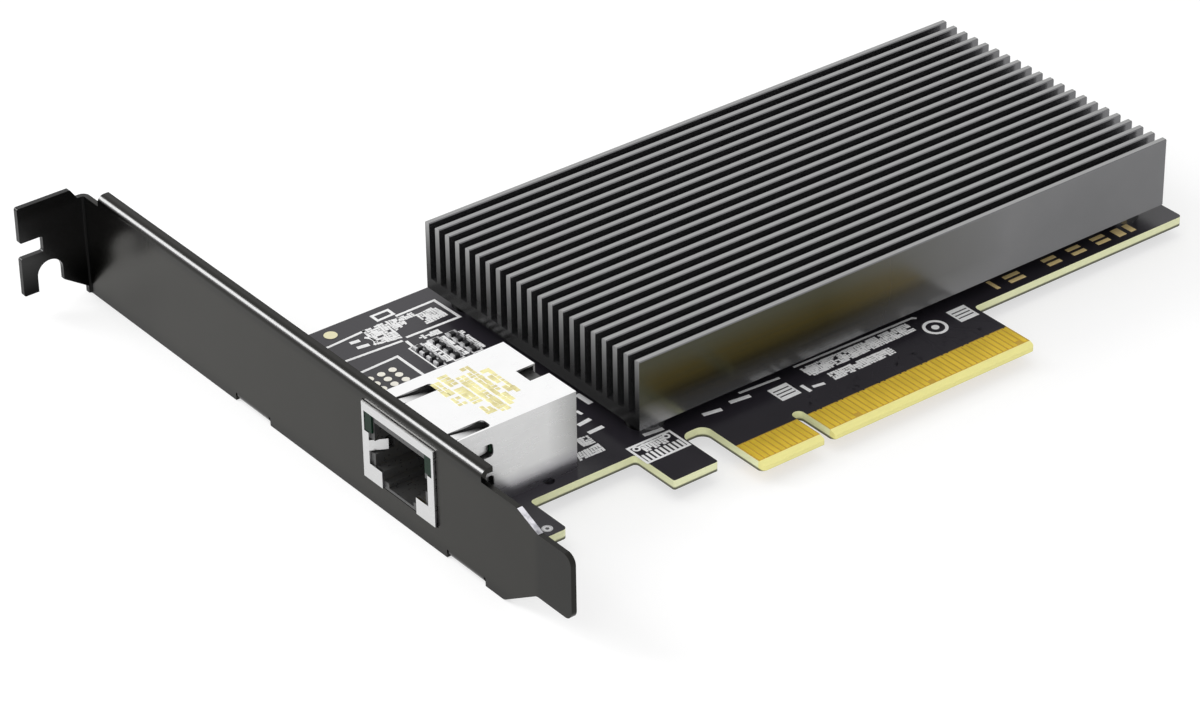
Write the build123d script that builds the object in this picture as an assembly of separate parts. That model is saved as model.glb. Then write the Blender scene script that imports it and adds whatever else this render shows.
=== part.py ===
from build123d import *
import math
import os

# A network interface card for an expansion slot: board, finned heat sink,
# shielded jack with two indicator windows, and a folded full-height bracket.
# The origin is on the key notch's centreline, at the connector's leading edge,
# in the middle of the board's thickness. +X runs along the board away from the
# bracket, +Y from the connector to the top edge, +Z out of the component side.
# All sizes are millimetres.

# How far a cutting shape runs past the face that it cuts
through = 1.0

# Board outline
board_thickness = 1.57
board_height = 68.9
board_length = 137.7
board_to_bracket = 0.44
shoulder_y = 13.35
ear_width = 12.7
ear_y = 4.75
ear_hole_radius = 0.7
ear_hole_inset = 2.2
ear_hole_rise = 1.65
ear_to_bare_tab = 18.7
bare_tab_width = 7.9
outer_corner = 0.7
small_corner = 0.35
gap_corner = 1.6

# Edge connector
finger_pitch = 1.0
finger_width = 0.7
finger_length = 4.7
finger_plating = 0.05
finger_setback = 1.3
sensing_setback = 0.9
short_finger_count = 11
long_finger_count = 38
sensing_fingers_top = (17, 31, 48)
sensing_fingers_bottom = (1,)
first_finger = 1.5
finger_to_tab_edge = 0.65
key_width = 1.9
key_depth = 7.9
bevel_depth = 1.2
bevel_angle = 20

# Folded bracket
key_to_bracket = 57.15
bracket_length = 120.02
bracket_width = 18.42
bracket_sheet = 0.86
bracket_above_board = 14.9
bracket_end_y = -14.5
bracket_bend = 0.35
lip_reach = 2.0
lip_start_y = 5.1
lip_to_flange = 4.9
lip_step = 1.75
throat_slope = 1.2
shoulder_end_y = -2.9
low_shoulder_end_y = 0.6
tongue_start_y = -7.5
low_tongue_start_y = -6.8
tongue_width = 10.19
tongue_rise = 4.6
tongue_corner = 1.5
flange_reach = 11.43
flange_relief_width = 2.2
flange_relief_slope = 1.2
screw_slot_width = 4.42
screw_slot_to_face = 6.64
screw_slot_top = 4.6
finger_end_rise = 3.4
throat_rise = 3.9
locating_notch_width = 2.6
locating_notch_depth = 3.9
locating_notch_rise = 9.9

# Tabs that carry the board on the bracket
tab_width = 8.0
tab_reach = 11.6
tab_step_start = 2.4
tab_step_run = 1.6
tab_relief = 0.4
tab_relief_rise = 1.3
low_tab_y = 9.2
high_tab_y = 61.0
tab_hole_from_end = 4.1
tab_corner = 1.0

# Screws
screw_shank_radius = 1.45
screw_hole_clearance = 0.15
thread_clearance = 0.05
bracket_screw_head_radius = 2.75
bracket_screw_head_height = 1.7
sink_screw_head_radius = 2.6
sink_screw_head_height = 1.25
washer_radius = 3.2
washer_thickness = 0.35
recess_width = 0.7
recess_share = 0.62
recess_depth = 0.8
dome_share = 0.45
screw_end_gap = 0.4

# Heat sink
sink_length = 101.6
sink_width = 50.8
sink_from_bracket = 34.7
sink_low_y = 15.0
sink_gap = 2.3
sink_height = 11.3
sink_base = 1.9
fin_count = 21
fin_thickness = 1.0
fin_edge = 0.14
boss_radius = 3.0
boss_inset = 4.6
boss_thread_depth = 3.2

# Controller under the heat sink
controller_size = 25.0
controller_lid_inset = 1.2
controller_base_height = 0.7
controller_height = 1.6
controller_corner = 0.3
controller_lid_corner = 0.6
pad_inset = 0.8
pad_corner = 0.8

# Jack
jack_proud = 0.4
jack_length = 24.5
jack_width = 16.8
jack_height = 12.8
jack_centre_y = 24.0
jack_front_rise = 0.5
jack_opening_clearance = 0.2
shield_sheet = 0.3
shield_fit = 0.05
shield_bend = 0.15
window_half = 7.9
window_low = 8.25
window_high = 11.45
face_half = 6.9
face_low = 3.2
keyway_face_half = 4.0
leaf_root = 3.0
leaf_tip = 9.8
leaf_width = 1.4
leaf_gap = 0.35
leaf_tip_round = 0.6
top_leaf_drop = 1.0
side_leaf_drop = 0.8
top_leaf_left = 5.0
top_leaf_right = 7.05
side_leaf_low = 4.0
side_leaf_high = 9.15
ground_spring_low = 5.3
ground_spring_high = 7.0
ground_spring_reach = 2.4
ground_spring_lean = 1.3
rear_notch_width = 3.3
rear_notch_depth = 3.3
rear_notch_off_centre = -0.6
rear_notch_drop = 2.0
rear_seam = 0.2
rear_seam_stop = 1.2
peg_width = 1.6
peg_below_board = 1.0
peg_hole_radius = 0.95
first_peg_x = 8.5
second_peg_x = 19.5

# Plastic housing inside the shield
housing_depth = 13.6
socket_half = 5.9
socket_high = 10.3
socket_depth = 11.8
keyway_half = 2.9
keyway_step_z = 1.7
keyway_floor = 0.95
pocket_wall = 0.3
window_clearance = 0.05
window_margin = 0.1
spring_pocket_depth = 3.6
spring_pocket_inset = 1.0
leaf_pocket_margin = 0.25
leaf_pocket_root = 0.5
leaf_pocket_tip = 0.6
post_radius = 1.6
post_clearance = 0.06
post_below_board = 0.9
post_x = 7.0
post_off_centre = 5.0
post_root = 0.5
contact_count = 8
contact_pitch = 1.02
contact_width = 0.36
contact_thickness = 0.25
contact_bend = 0.15
contact_front = 2.4
contact_high = 11.35
contact_drop = 1.0
contact_tip_x = 9.4
contact_tip_z = 7.9
groove_width = 0.5
groove_high = 11.5
groove_overlap = 0.5
groove_end_gap = 0.2
window_head = 2.0
window_recess = 0.1
window_body_width = 1.0
window_end = 10.0
lamp_end = 13.2
lamp_side_gap = 0.3

# Transformer case behind the socket
case_gap = 0.1
case_drop = 0.7
case_edge = 0.5
pin_rows = 2
pins_in_row = 6
pin_pitch = 2.54
pin_row_pitch = 2.54
pin_width = 0.5
pin_hole_radius = 0.45
pin_below_board = 1.2
first_pin_x = 16.6
solder_radius = 0.85
solder_height = 0.7
solder_tip_wall = 0.08
solder_sides = 8

# Small parts on the board
capacitor_size = (1.6, 0.8, 0.8)
small_capacitor_size = (1.0, 0.5, 0.5)
resistor_size = (1.6, 0.8, 0.45)
terminal_share = 0.22
terminal_wrap = 0.03
ring_capacitors = 6
ring_gap = 2.6
network_columns = 3
network_rows = 4
network_gap = 1.5
network_low_y = 50.4
network_pitch_x = 3.0
network_pitch_y = 1.7
under_grid = 5
under_pitch = 3.2
inductor_size = 6.4
inductor_height = 2.0
inductor_corner = 0.8
inductor_count = 3
inductor_pitch = 9.0
power_gap = 3.0
power_drop = 14.8
regulator_size = 5.0
regulator_height = 0.9
regulator_gap = 2.0
regulator_corner = 0.15
bulk_length = 7.3
bulk_width = 4.3
bulk_height = 1.9
bulk_count = 4
bulk_pitch = 6.4
bulk_gap = 0.65
bulk_draft = 0.25
crystal_length = 3.2
crystal_width = 2.5
crystal_height = 0.75
crystal_corner = 0.4
crystal_gap = 6.0
crystal_drop = 9.4
flash_length = 5.0
flash_width = 3.9
flash_height = 1.35
flash_standoff = 0.1
flash_from_bracket = 56.0
flash_y = 24.0
flash_lead_count = 4
flash_lead_pitch = 1.27
flash_lead_width = 0.42
flash_lead_thickness = 0.2
flash_lead_span = 6.0
flash_lead_bend = 0.12
flash_lead_knee = 0.45
flash_lead_lean = 0.15
header_columns = 3
header_rows = 3
header_pitch_x = 2.0
header_pitch_y = 1.65
header_from_bracket = 17.2
header_y = 51.5
header_pad_radius = 0.6
pad_height = 0.06
fiducial_radius = 1.05
fiducial_from_bracket = 17.7
fiducial_far_inset = 2.2
fiducial_edge_inset = 1.55

# Places worked out from the sizes above
board_top = board_thickness / 2
board_bottom = -board_top
bracket_face = -key_to_bracket
bracket_back = bracket_face + bracket_sheet
board_left = bracket_back + board_to_bracket
board_right = board_left + board_length
bracket_top = board_top + bracket_above_board
bracket_low = bracket_top - bracket_width
bracket_high_y = bracket_end_y + bracket_length
lip_end_y = bracket_high_y - lip_to_flange
short_left = -(first_finger + (short_finger_count - 1) * finger_pitch + finger_to_tab_edge)
long_right = first_finger + (long_finger_count - 1) * finger_pitch + finger_to_tab_edge
tab_hole_x = bracket_face + tab_reach - tab_hole_from_end
tab_holes = [(tab_hole_x, low_tab_y), (tab_hole_x, high_tab_y)]
screw_hole_radius = screw_shank_radius + screw_hole_clearance
thread_radius = screw_shank_radius + thread_clearance
sink_left = bracket_face + sink_from_bracket
sink_right = sink_left + sink_length
sink_high_y = sink_low_y + sink_width
sink_floor = board_top + sink_gap
sink_top = sink_floor + sink_height
sink_x = (sink_left + sink_right) / 2
sink_y = (sink_low_y + sink_high_y) / 2
boss_spots = [(x, y) for x in (sink_left + boss_inset, sink_right - boss_inset)
              for y in (sink_low_y + boss_inset, sink_high_y - boss_inset)]
ring_reach = controller_size / 2 + ring_gap
ring_end = ring_reach + capacitor_size[0] / 2
jack_front = bracket_face - jack_proud
jack_back = jack_front + jack_length
jack_half = jack_width / 2
jack_top = board_top + jack_height
jack_inner_half = jack_half - shield_sheet - shield_fit
jack_inner_top = jack_top - shield_sheet - shield_fit
housing_front = jack_front + shield_sheet + shield_fit
housing_back = jack_front + housing_depth
peg_spots = [(jack_front + x, jack_centre_y + side * (jack_half - shield_sheet / 2))
             for x in (first_peg_x, second_peg_x) for side in (-1, 1)]
post_spots = [(jack_front + post_x, jack_centre_y + side * post_off_centre) for side in (-1, 1)]
pin_spots = [(jack_front + first_pin_x + row * pin_row_pitch,
              jack_centre_y + (i - (pins_in_row - 1) / 2) * pin_pitch)
             for row in range(pin_rows) for i in range(pins_in_row)]
header_spots = [(bracket_face + header_from_bracket + (i - (header_columns - 1) / 2) * header_pitch_x,
                 header_y + (j - (header_rows - 1) / 2) * header_pitch_y)
                for i in range(header_columns) for j in range(header_rows)]


def along_x(face, x0, x1):
    """Extrude a face drawn in (y, z) from x0 to x1."""
    return extrude(Plane.YZ.offset(x0) * face, amount=x1 - x0)


def along_y(face, y0, y1):
    """Extrude a face drawn in (x, z) from y0 to y1."""
    return extrude(Plane.XZ.offset(-y1) * face, amount=y1 - y0)


def along_z(face, z0, z1):
    """Extrude a face drawn in (x, y) from z0 to z1."""
    return extrude(Plane.XY.offset(z0) * face, amount=z1 - z0)


def block(x0, x1, y0, y1, z0, z1):
    """A rectangular block between two corners."""
    middle = Pos((x0 + x1) / 2, (y0 + y1) / 2, (z0 + z1) / 2)
    return middle * Box(x1 - x0, y1 - y0, z1 - z0)


def outline(points, radii):
    """A closed face through the points, each corner rounded by its own radius."""
    return make_face(FilletPolyline(*points, radius=radii, close=True))


def rectangle(a0, a1, b0, b1, corner=0):
    """A rectangular face between two corners, with rounded corners if asked."""
    return outline([(a0, b0), (a1, b0), (a1, b1), (a0, b1)], [corner] * 4)


def rod(x, y, z0, z1, radius):
    """An upright cylinder."""
    return along_z(Pos(x, y) * Circle(radius), z0, z1)


def folded_section(points, thickness, bend):
    """The section of a folded sheet with its outer face through the points.

    The sheet lies to the left of the run of points, and each fold has the
    given inner radius, so its outer radius is larger by the thickness.
    """
    run = [Vector(*point) for point in points]
    ways = [(b - a).normalized() for a, b in zip(run, run[1:])]
    sides = [Vector(-way.Y, way.X) for way in ways]
    far = [run[0] + sides[0] * thickness]
    run_radii = []
    far_radii = []
    for corner, before, after, way, next_way in zip(run[1:], sides, sides[1:], ways, ways[1:]):
        mitre = (before + after) * (thickness / (1 + before.dot(after)))
        far.append(corner + mitre)
        turns_left = way.cross(next_way).Z > 0
        run_radii.append(bend + thickness if turns_left else bend)
        far_radii.append(bend if turns_left else bend + thickness)
    far.append(run[-1] + sides[-1] * thickness)
    edges = [FilletPolyline(*run, radius=run_radii), Line(run[-1], far[-1]),
             FilletPolyline(*reversed(far), radius=list(reversed(far_radii))), Line(far[0], run[0])]
    return make_face([edge for piece in edges for edge in piece.edges()])


def group(solids):
    """Separate solids kept together in one sub-part."""
    return Compound(children=list(solids))


def pan_head_screw(head_radius, head_height, shank_length):
    """A screw that hangs from the plane z = 0, with a domed head and a cross recess."""
    dome = head_height * dome_share
    dome_radius = (head_radius ** 2 + dome ** 2) / (2 * dome)
    half_way = head_height - dome_radius + math.sqrt(dome_radius ** 2 - head_radius ** 2 / 4)
    profile = make_face([
        Line((0, -shank_length), (screw_shank_radius, -shank_length)),
        Line((screw_shank_radius, -shank_length), (screw_shank_radius, 0)),
        Line((screw_shank_radius, 0), (head_radius, 0)),
        Line((head_radius, 0), (head_radius, head_height - dome)),
        ThreePointArc((head_radius, head_height - dome), (head_radius / 2, half_way), (0, head_height)),
        Line((0, head_height), (0, -shank_length)),
    ])
    screw = revolve(Plane.XZ * profile, axis=Axis.Z)
    arm = head_radius * recess_share
    for turn in (0, 90):
        cutter = block(-arm, arm, -recess_width / 2, recess_width / 2,
                       head_height - recess_depth, head_height + recess_depth)
        screw -= Rot(Z=turn) * cutter
    return screw


def board_outline():
    """The board's edge, with the ear, the bare tab, the two finger tabs and the key notch."""
    ear_right = board_left + ear_width
    bare_left = ear_right + ear_to_bare_tab
    bare_right = bare_left + bare_tab_width
    key = key_width / 2
    corners = [
        (board_left, board_height, outer_corner), (board_left, ear_y, outer_corner),
        (ear_right, ear_y, outer_corner), (ear_right, shoulder_y, outer_corner),
        (bare_left, shoulder_y, outer_corner), (bare_left, ear_y, small_corner),
        (bare_right, ear_y, small_corner), (bare_right, shoulder_y, gap_corner),
        (short_left, shoulder_y, gap_corner), (short_left, 0, outer_corner),
        (-key, 0, small_corner), (-key, key_depth - key, 0),
        (key, key_depth - key, 0), (key, 0, small_corner),
        (long_right, 0, outer_corner), (long_right, shoulder_y, outer_corner),
        (board_right, shoulder_y, outer_corner), (board_right, board_height, outer_corner),
    ]
    edge = outline([(x, y) for x, y, _ in corners], [radius for _, _, radius in corners])
    return edge - Pos(0, key_depth - key) * Circle(key)


def circuit_board():
    board = along_z(board_outline(), board_bottom, board_top)
    lead_in = bevel_depth * math.tan(math.radians(bevel_angle))
    wedge = make_face(Polyline(
        (-bevel_depth, board_top + bevel_depth), (-bevel_depth, board_top - 2 * lead_in),
        (bevel_depth, board_top), (bevel_depth, board_top + bevel_depth), close=True))
    cutter = along_x(wedge, short_left - bevel_depth, long_right + bevel_depth)
    board = board - cutter - mirror(cutter, about=Plane.XY)
    holes = [(x, y, screw_hole_radius) for x, y in tab_holes + boss_spots]
    holes += [(x, y, peg_hole_radius) for x, y in peg_spots]
    holes += [(x, y, post_radius + post_clearance) for x, y in post_spots]
    holes += [(x, y, pin_hole_radius) for x, y in pin_spots]
    holes.append((board_left + ear_width - ear_hole_inset, ear_y + ear_hole_rise, ear_hole_radius))
    drills = [rod(x, y, board_bottom - through, board_top + through, radius) for x, y, radius in holes]
    return board - drills


def edge_fingers(face_z, way, sensing):
    """The plated fingers on one face; the listed ones start further from the edge."""
    places = [-(first_finger + i * finger_pitch) for i in reversed(range(short_finger_count))]
    places += [first_finger + i * finger_pitch for i in range(long_finger_count)]
    fingers = []
    for number, x in enumerate(places, start=1):
        start = finger_setback + (sensing_setback if number in sensing else 0)
        end = finger_setback + finger_length
        z0, z1 = sorted((face_z, face_z + way * finger_plating))
        fingers.append(block(x - finger_width / 2, x + finger_width / 2, start, end, z0, z1))
    return group(fingers)


def bracket():
    """One folded sheet: face, lip, screw flange, tapered tongue and two board tabs."""
    lip_run = [(bracket_face + lip_reach, bracket_top), (bracket_face, bracket_top),
               (bracket_face, bracket_low)]
    middle = along_y(folded_section(lip_run, bracket_sheet, bracket_bend), lip_start_y, lip_end_y)

    step_z = bracket_top - lip_step
    tongue_low = bracket_low + tongue_rise
    tongue_high = tongue_low + tongue_width
    lower = [
        (lip_start_y, bracket_low, 0), (low_shoulder_end_y, bracket_low, tongue_corner),
        (low_tongue_start_y, tongue_low, tongue_corner), (bracket_end_y, tongue_low, tongue_corner),
        (bracket_end_y, tongue_high, tongue_corner), (tongue_start_y, tongue_high, tongue_corner),
        (shoulder_end_y, step_z, tongue_corner), (lip_start_y, step_z, 0),
    ]
    tongue = along_x(outline([(y, z) for y, z, _ in lower], [r for _, _, r in lower]),
                     bracket_face, bracket_back)

    flange_run = [(bracket_back, lip_end_y), (bracket_back, bracket_high_y),
                  (bracket_face - flange_reach, bracket_high_y)]
    flange = along_z(folded_section(flange_run, bracket_sheet, bracket_bend), bracket_low, bracket_top)
    edge_x = bracket_face - flange_reach
    notch_x = edge_x + locating_notch_depth
    notch_z = bracket_low + locating_notch_rise
    finger_z = bracket_low + finger_end_rise
    slot_right = bracket_face - screw_slot_to_face + screw_slot_width / 2
    small = bracket_bend
    plan = [
        (edge_x, bracket_top, small), (edge_x, notch_z + locating_notch_width, small),
        (notch_x, notch_z + locating_notch_width, small), (notch_x, notch_z, small),
        (edge_x, notch_z, small), (edge_x, finger_z, small),
        (slot_right, finger_z, 0), (slot_right, bracket_low + throat_rise, 0),
        (bracket_face - bracket_bend, bracket_low + throat_slope, small),
        (bracket_face - bracket_bend, bracket_low, 0),
        (bracket_back, bracket_low, 0), (bracket_back, step_z, 0),
        (bracket_face - flange_relief_width + flange_relief_slope, step_z, small),
        (bracket_face - flange_relief_width, bracket_top, small),
    ]
    flange &= along_y(outline([(x, z) for x, z, _ in plan], [r for _, _, r in plan]),
                      lip_end_y, bracket_high_y)
    slot_x = bracket_face - screw_slot_to_face
    slot_radius = screw_slot_width / 2
    slot_end = board_top + screw_slot_top - slot_radius
    slot = Pos(slot_x, slot_end) * Circle(slot_radius)
    slot += rectangle(slot_x - slot_radius, slot_x + slot_radius, bracket_low - through, slot_end)
    flange -= along_y(slot, bracket_high_y - 2 * bracket_sheet, bracket_high_y + bracket_sheet)

    opening = rectangle(jack_centre_y - jack_half - jack_opening_clearance,
                        jack_centre_y + jack_half + jack_opening_clearance,
                        board_top + jack_front_rise - jack_opening_clearance,
                        jack_top + jack_opening_clearance, jack_opening_clearance)
    sheet = middle + tongue + flange - along_x(
        opening, bracket_face - through, bracket_back + through)

    tab_top = board_bottom - bracket_sheet
    tab_run = [(bracket_face, bracket_low + tab_relief_rise), (bracket_face, bracket_low),
               (bracket_face + tab_step_start, bracket_low),
               (bracket_face + tab_step_start + tab_step_run, tab_top),
               (bracket_face + tab_reach, tab_top)]
    section = folded_section(tab_run, bracket_sheet, bracket_bend)
    for x, y in tab_holes:
        half = tab_width / 2
        sheet -= block(bracket_face - through, bracket_back + through, y - half - tab_relief,
                       y + half + tab_relief, bracket_low - through, bracket_low + tab_relief_rise)
        tab = along_y(section, y - half, y + half)
        start = bracket_face - through
        rounded = rectangle(start, bracket_face + tab_reach, y - half, y + half, tab_corner)
        root = rectangle(start, x - half, y - half, y + half)
        tab &= along_z(rounded + root, bracket_low - through, board_top)
        sheet += tab - rod(x, y, bracket_low - through, board_top, thread_radius)
    return sheet


def bracket_screws():
    length = board_thickness + bracket_sheet
    screw = pan_head_screw(bracket_screw_head_radius, bracket_screw_head_height, length)
    return group(Pos(x, y, board_top) * screw for x, y in tab_holes)


def heat_sink():
    """An extruded section of parallel fins on a plate, with four tapped bosses below it."""
    pitch = (sink_width - fin_thickness) / (fin_count - 1)
    plate_top = sink_floor + sink_base
    section = rectangle(sink_low_y, sink_high_y, sink_floor, plate_top)
    for i in range(fin_count):
        y = sink_low_y + i * pitch
        far = y + fin_thickness
        section += make_face(Polyline(
            (y, plate_top - fin_edge), (far, plate_top - fin_edge), (far, sink_top - fin_edge),
            (far - fin_edge, sink_top), (y + fin_edge, sink_top), (y, sink_top - fin_edge), close=True))
    sink = along_x(section, sink_left, sink_right)
    for x, y in boss_spots:
        sink += rod(x, y, board_top, sink_floor + sink_base / 2, boss_radius)
    for x, y in boss_spots:
        sink -= rod(x, y, board_top - through, board_top + boss_thread_depth, thread_radius)
    return sink


def sink_screws():
    length = board_thickness + washer_thickness + boss_thread_depth - screw_end_gap
    screw = pan_head_screw(sink_screw_head_radius, sink_screw_head_height, length)
    seat = board_bottom - washer_thickness
    return group(Pos(x, y, seat) * (Rot(X=180) * screw) for x, y in boss_spots)


def sink_washers():
    ring = Circle(washer_radius) - Circle(screw_hole_radius)
    return group(along_z(Pos(x, y) * ring, board_bottom - washer_thickness, board_bottom)
                 for x, y in boss_spots)


def controller_chip():
    half = controller_size / 2
    lid = half - controller_lid_inset
    base_top = board_top + controller_base_height
    body = along_z(rectangle(sink_x - half, sink_x + half, sink_y - half, sink_y + half,
                             controller_corner),
                   board_top, base_top)
    cap = along_z(rectangle(sink_x - lid, sink_x + lid, sink_y - lid, sink_y + lid,
                            controller_lid_corner),
                  base_top, board_top + controller_height)
    return body + cap


def thermal_pad():
    half = controller_size / 2 - controller_lid_inset - pad_inset
    return along_z(rectangle(sink_x - half, sink_x + half, sink_y - half, sink_y + half, pad_corner),
                   board_top + controller_height, sink_floor)


def leaf_plan(grow=0.0):
    """A lanced leaf seen from outside: square at its root, rounded at its tip."""
    half = leaf_width / 2 + grow
    return outline([(leaf_root, -half), (leaf_tip + grow, -half), (leaf_tip + grow, half),
                    (leaf_root, half)], [0, leaf_tip_round, leaf_tip_round, 0])


def leaf_spring(drop):
    """A spring leaf that leaves its sheet at the root and leans inwards to the tip."""
    run = [(leaf_root - shield_sheet, -shield_sheet), (leaf_root + shield_sheet, -shield_sheet),
           (leaf_tip, -shield_sheet - drop)]
    section = along_y(folded_section(run, shield_sheet, shield_bend), -leaf_width, leaf_width)
    root = rectangle(leaf_root - shield_sheet, leaf_root + shield_sheet, -leaf_width / 2, leaf_width / 2)
    return section & along_z(leaf_plan() + root, -shield_sheet - 2 * drop, shield_sheet)


def leaf_places():
    """Where each leaf sits: on the sheet's outer face, with its inward drop."""
    places = [(Pos(jack_front, jack_centre_y + top_leaf_left, jack_top), top_leaf_drop),
              (Pos(jack_front, jack_centre_y - top_leaf_right, jack_top), top_leaf_drop)]
    for z in (side_leaf_low, side_leaf_high):
        for side in (-1, 1):
            seat = Pos(jack_front, jack_centre_y + side * jack_half, board_top + z)
            places.append((seat * Rot(X=-90 * side), side_leaf_drop))
    return places


def ground_spring(side):
    """A strip turned back from the opening's side edge, leaning into the socket."""
    root = side * face_half
    tip = side * (face_half - ground_spring_lean)
    sheet = side * shield_sheet
    end = jack_front + ground_spring_reach
    strip = make_face(Polyline((jack_front, root), (end, tip), (end, tip + sheet),
                               (jack_front, root + 2 * sheet), close=True))
    return Pos(0, jack_centre_y) * along_z(strip, board_top + ground_spring_low,
                                           board_top + ground_spring_high)


def jack_shield():
    """One folded sheet round the jack, with sprung leaves, pegs and the stepped front opening."""
    low_y = jack_centre_y - jack_half
    high_y = jack_centre_y + jack_half
    shell = block(jack_front, jack_back, low_y, high_y, board_top, jack_top)
    shell -= block(jack_front + shield_sheet, jack_back - shield_sheet, low_y + shield_sheet,
                   high_y - shield_sheet, board_top - through, jack_top - shield_sheet)
    shell -= block(jack_front - through, board_left, low_y - through, high_y + through,
                   board_top - through, board_top + jack_front_rise)
    half_opening = [(keyway_face_half, -through), (keyway_face_half, face_low), (face_half, face_low),
                    (face_half, window_low), (window_half, window_low), (window_half, window_high)]
    right = [(jack_centre_y + y, board_top + z) for y, z in half_opening]
    left = [(jack_centre_y - y, board_top + z) for y, z in reversed(half_opening)]
    shell -= along_x(make_face(Polyline(*right, *left, close=True)),
                     jack_front - through, jack_front + 2 * shield_sheet)
    notch_y = jack_centre_y + rear_notch_off_centre
    shell -= block(jack_back - rear_notch_depth, jack_back + through, notch_y - rear_notch_width / 2,
                   notch_y + rear_notch_width / 2, jack_top - 2 * shield_sheet, jack_top + through)
    shell -= block(jack_back - shield_sheet, jack_back + through, notch_y - rear_notch_width / 2,
                   notch_y + rear_notch_width / 2, jack_top - rear_notch_drop, jack_top)
    for side in (-1, 1):
        seam = jack_centre_y + side * (jack_half - shield_sheet)
        shell -= block(jack_back - shield_sheet, jack_back + through, seam - rear_seam / 2,
                       seam + rear_seam / 2, board_top - through, jack_top - rear_seam_stop)
    for place, drop in leaf_places():
        cutter = along_z(leaf_plan(leaf_gap), -2 * shield_sheet, shield_sheet)
        shell -= place * cutter
        shell += place * leaf_spring(drop)
    for side in (-1, 1):
        shell += ground_spring(side)
    for x, y in peg_spots:
        shell += block(x - peg_width / 2, x + peg_width / 2, y - shield_sheet / 2, y + shield_sheet / 2,
                       board_bottom - peg_below_board, board_top + shield_sheet)
    return shell


def socket_section():
    """The socket seen from the front: plug space above a stepped keyway."""
    half = [(keyway_half, keyway_floor), (keyway_half, keyway_step_z),
            (keyway_face_half, keyway_step_z), (keyway_face_half, face_low),
            (socket_half, face_low), (socket_half, socket_high)]
    right = [(jack_centre_y + y, board_top + z) for y, z in half]
    left = [(jack_centre_y - y, board_top + z) for y, z in reversed(half)]
    return make_face(Polyline(*right, *left, close=True))


def contact_places():
    return [jack_centre_y + (i - (contact_count - 1) / 2) * contact_pitch for i in range(contact_count)]


def jack_housing():
    """The moulded insulator: stepped socket, contact grooves, pockets and two posts."""
    half = jack_inner_half
    body = block(housing_front, housing_back, jack_centre_y - half, jack_centre_y + half,
                 board_top, jack_inner_top)
    body -= block(housing_front - through, board_left, jack_centre_y - jack_half,
                  jack_centre_y + jack_half, board_top - through, board_top + jack_front_rise)
    body -= along_x(socket_section(), housing_front - through, jack_front + socket_depth)
    for y in contact_places():
        body -= block(jack_front + contact_front - groove_end_gap, housing_back + through,
                      y - groove_width / 2, y + groove_width / 2,
                      board_top + socket_high - groove_overlap, board_top + groove_high)
    pocket_inner = socket_half + pocket_wall
    for side in (-1, 1):
        near, far = sorted((side * pocket_inner, side * jack_half))
        body -= block(housing_front - through, housing_back + through, jack_centre_y + near,
                      jack_centre_y + far, board_top + window_low, board_top + window_high)
        near, far = sorted((side * (socket_half - spring_pocket_inset), side * jack_half))
        body -= block(housing_front - through, jack_front + spring_pocket_depth, jack_centre_y + near,
                      jack_centre_y + far, board_top + ground_spring_low - leaf_pocket_margin,
                      board_top + ground_spring_high + leaf_pocket_margin)
    for place, drop in leaf_places():
        depth = shield_sheet * 2 + drop + leaf_pocket_margin
        pocket = block(leaf_root - leaf_pocket_root, leaf_tip + leaf_pocket_tip,
                       -leaf_width / 2 - leaf_gap, leaf_width / 2 + leaf_gap, -depth, through)
        body -= place * pocket
    for x, y in post_spots:
        body += rod(x, y, board_bottom - post_below_board, board_top + post_root, post_radius)
    return body


def jack_contacts():
    """Eight sprung wires, each folded back at the front and sloping into the socket."""
    run = [(housing_back, contact_high), (jack_front + contact_front, contact_high),
           (jack_front + contact_front, contact_high - contact_drop),
           (jack_front + contact_tip_x, contact_tip_z)]
    section = folded_section([(x, board_top + z) for x, z in run], contact_thickness, contact_bend)
    return group(along_y(section, y - contact_width / 2, y + contact_width / 2)
                 for y in contact_places())


def indicator_window(side):
    """A moulded light guide in a top corner of the socket, with a wider head at the front."""
    inner = socket_half + pocket_wall + window_clearance
    guide = side * (inner + window_body_width)
    head_outer = side * (window_half - window_clearance)
    low = board_top + window_low + window_margin
    high = board_top + window_high - window_margin
    near, far = sorted((side * inner, head_outer))
    head = block(jack_front + window_recess, jack_front + window_head, jack_centre_y + near,
                 jack_centre_y + far, low, high)
    near, far = sorted((side * inner, guide))
    body = block(jack_front + window_head / 2, jack_front + window_end, jack_centre_y + near,
                 jack_centre_y + far, low, high)
    return head + body


def indicator_lamps():
    inner = socket_half + pocket_wall + window_clearance
    lamps = []
    for side in (-1, 1):
        near, far = sorted((side * inner, side * (jack_inner_half - lamp_side_gap)))
        lamp = block(jack_front + window_end, jack_front + lamp_end, jack_centre_y + near,
                     jack_centre_y + far, board_top + window_low + window_margin,
                     board_top + window_high - window_margin)
        lamps.append(lamp)
    return group(lamps)


def transformer_case():
    """The closed case behind the socket that holds the signal transformers."""
    half = jack_inner_half
    section = rectangle(jack_centre_y - half, jack_centre_y + half, board_top,
                        jack_inner_top - case_drop, case_edge)
    return along_x(section, housing_back, jack_back - shield_sheet - case_gap)


def jack_pin(x, y):
    half = pin_width / 2
    return block(x - half, x + half, y - half, y + half, board_bottom - pin_below_board, board_top)


def jack_pins():
    return group(jack_pin(x, y) for x, y in pin_spots)


def solder_joints():
    """A tapered fillet of solder round each pin on the board's underside."""
    tip_radius = pin_width / math.sqrt(2) + solder_tip_wall
    root = Plane.XY.offset(board_bottom) * RegularPolygon(solder_radius, solder_sides)
    tip = Plane.XY.offset(board_bottom - solder_height) * RegularPolygon(tip_radius, solder_sides)
    fillet_solid = loft([root.face(), tip.face()])
    return group(Pos(x, y) * fillet_solid - jack_pin(x, y) for x, y in pin_spots)


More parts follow.
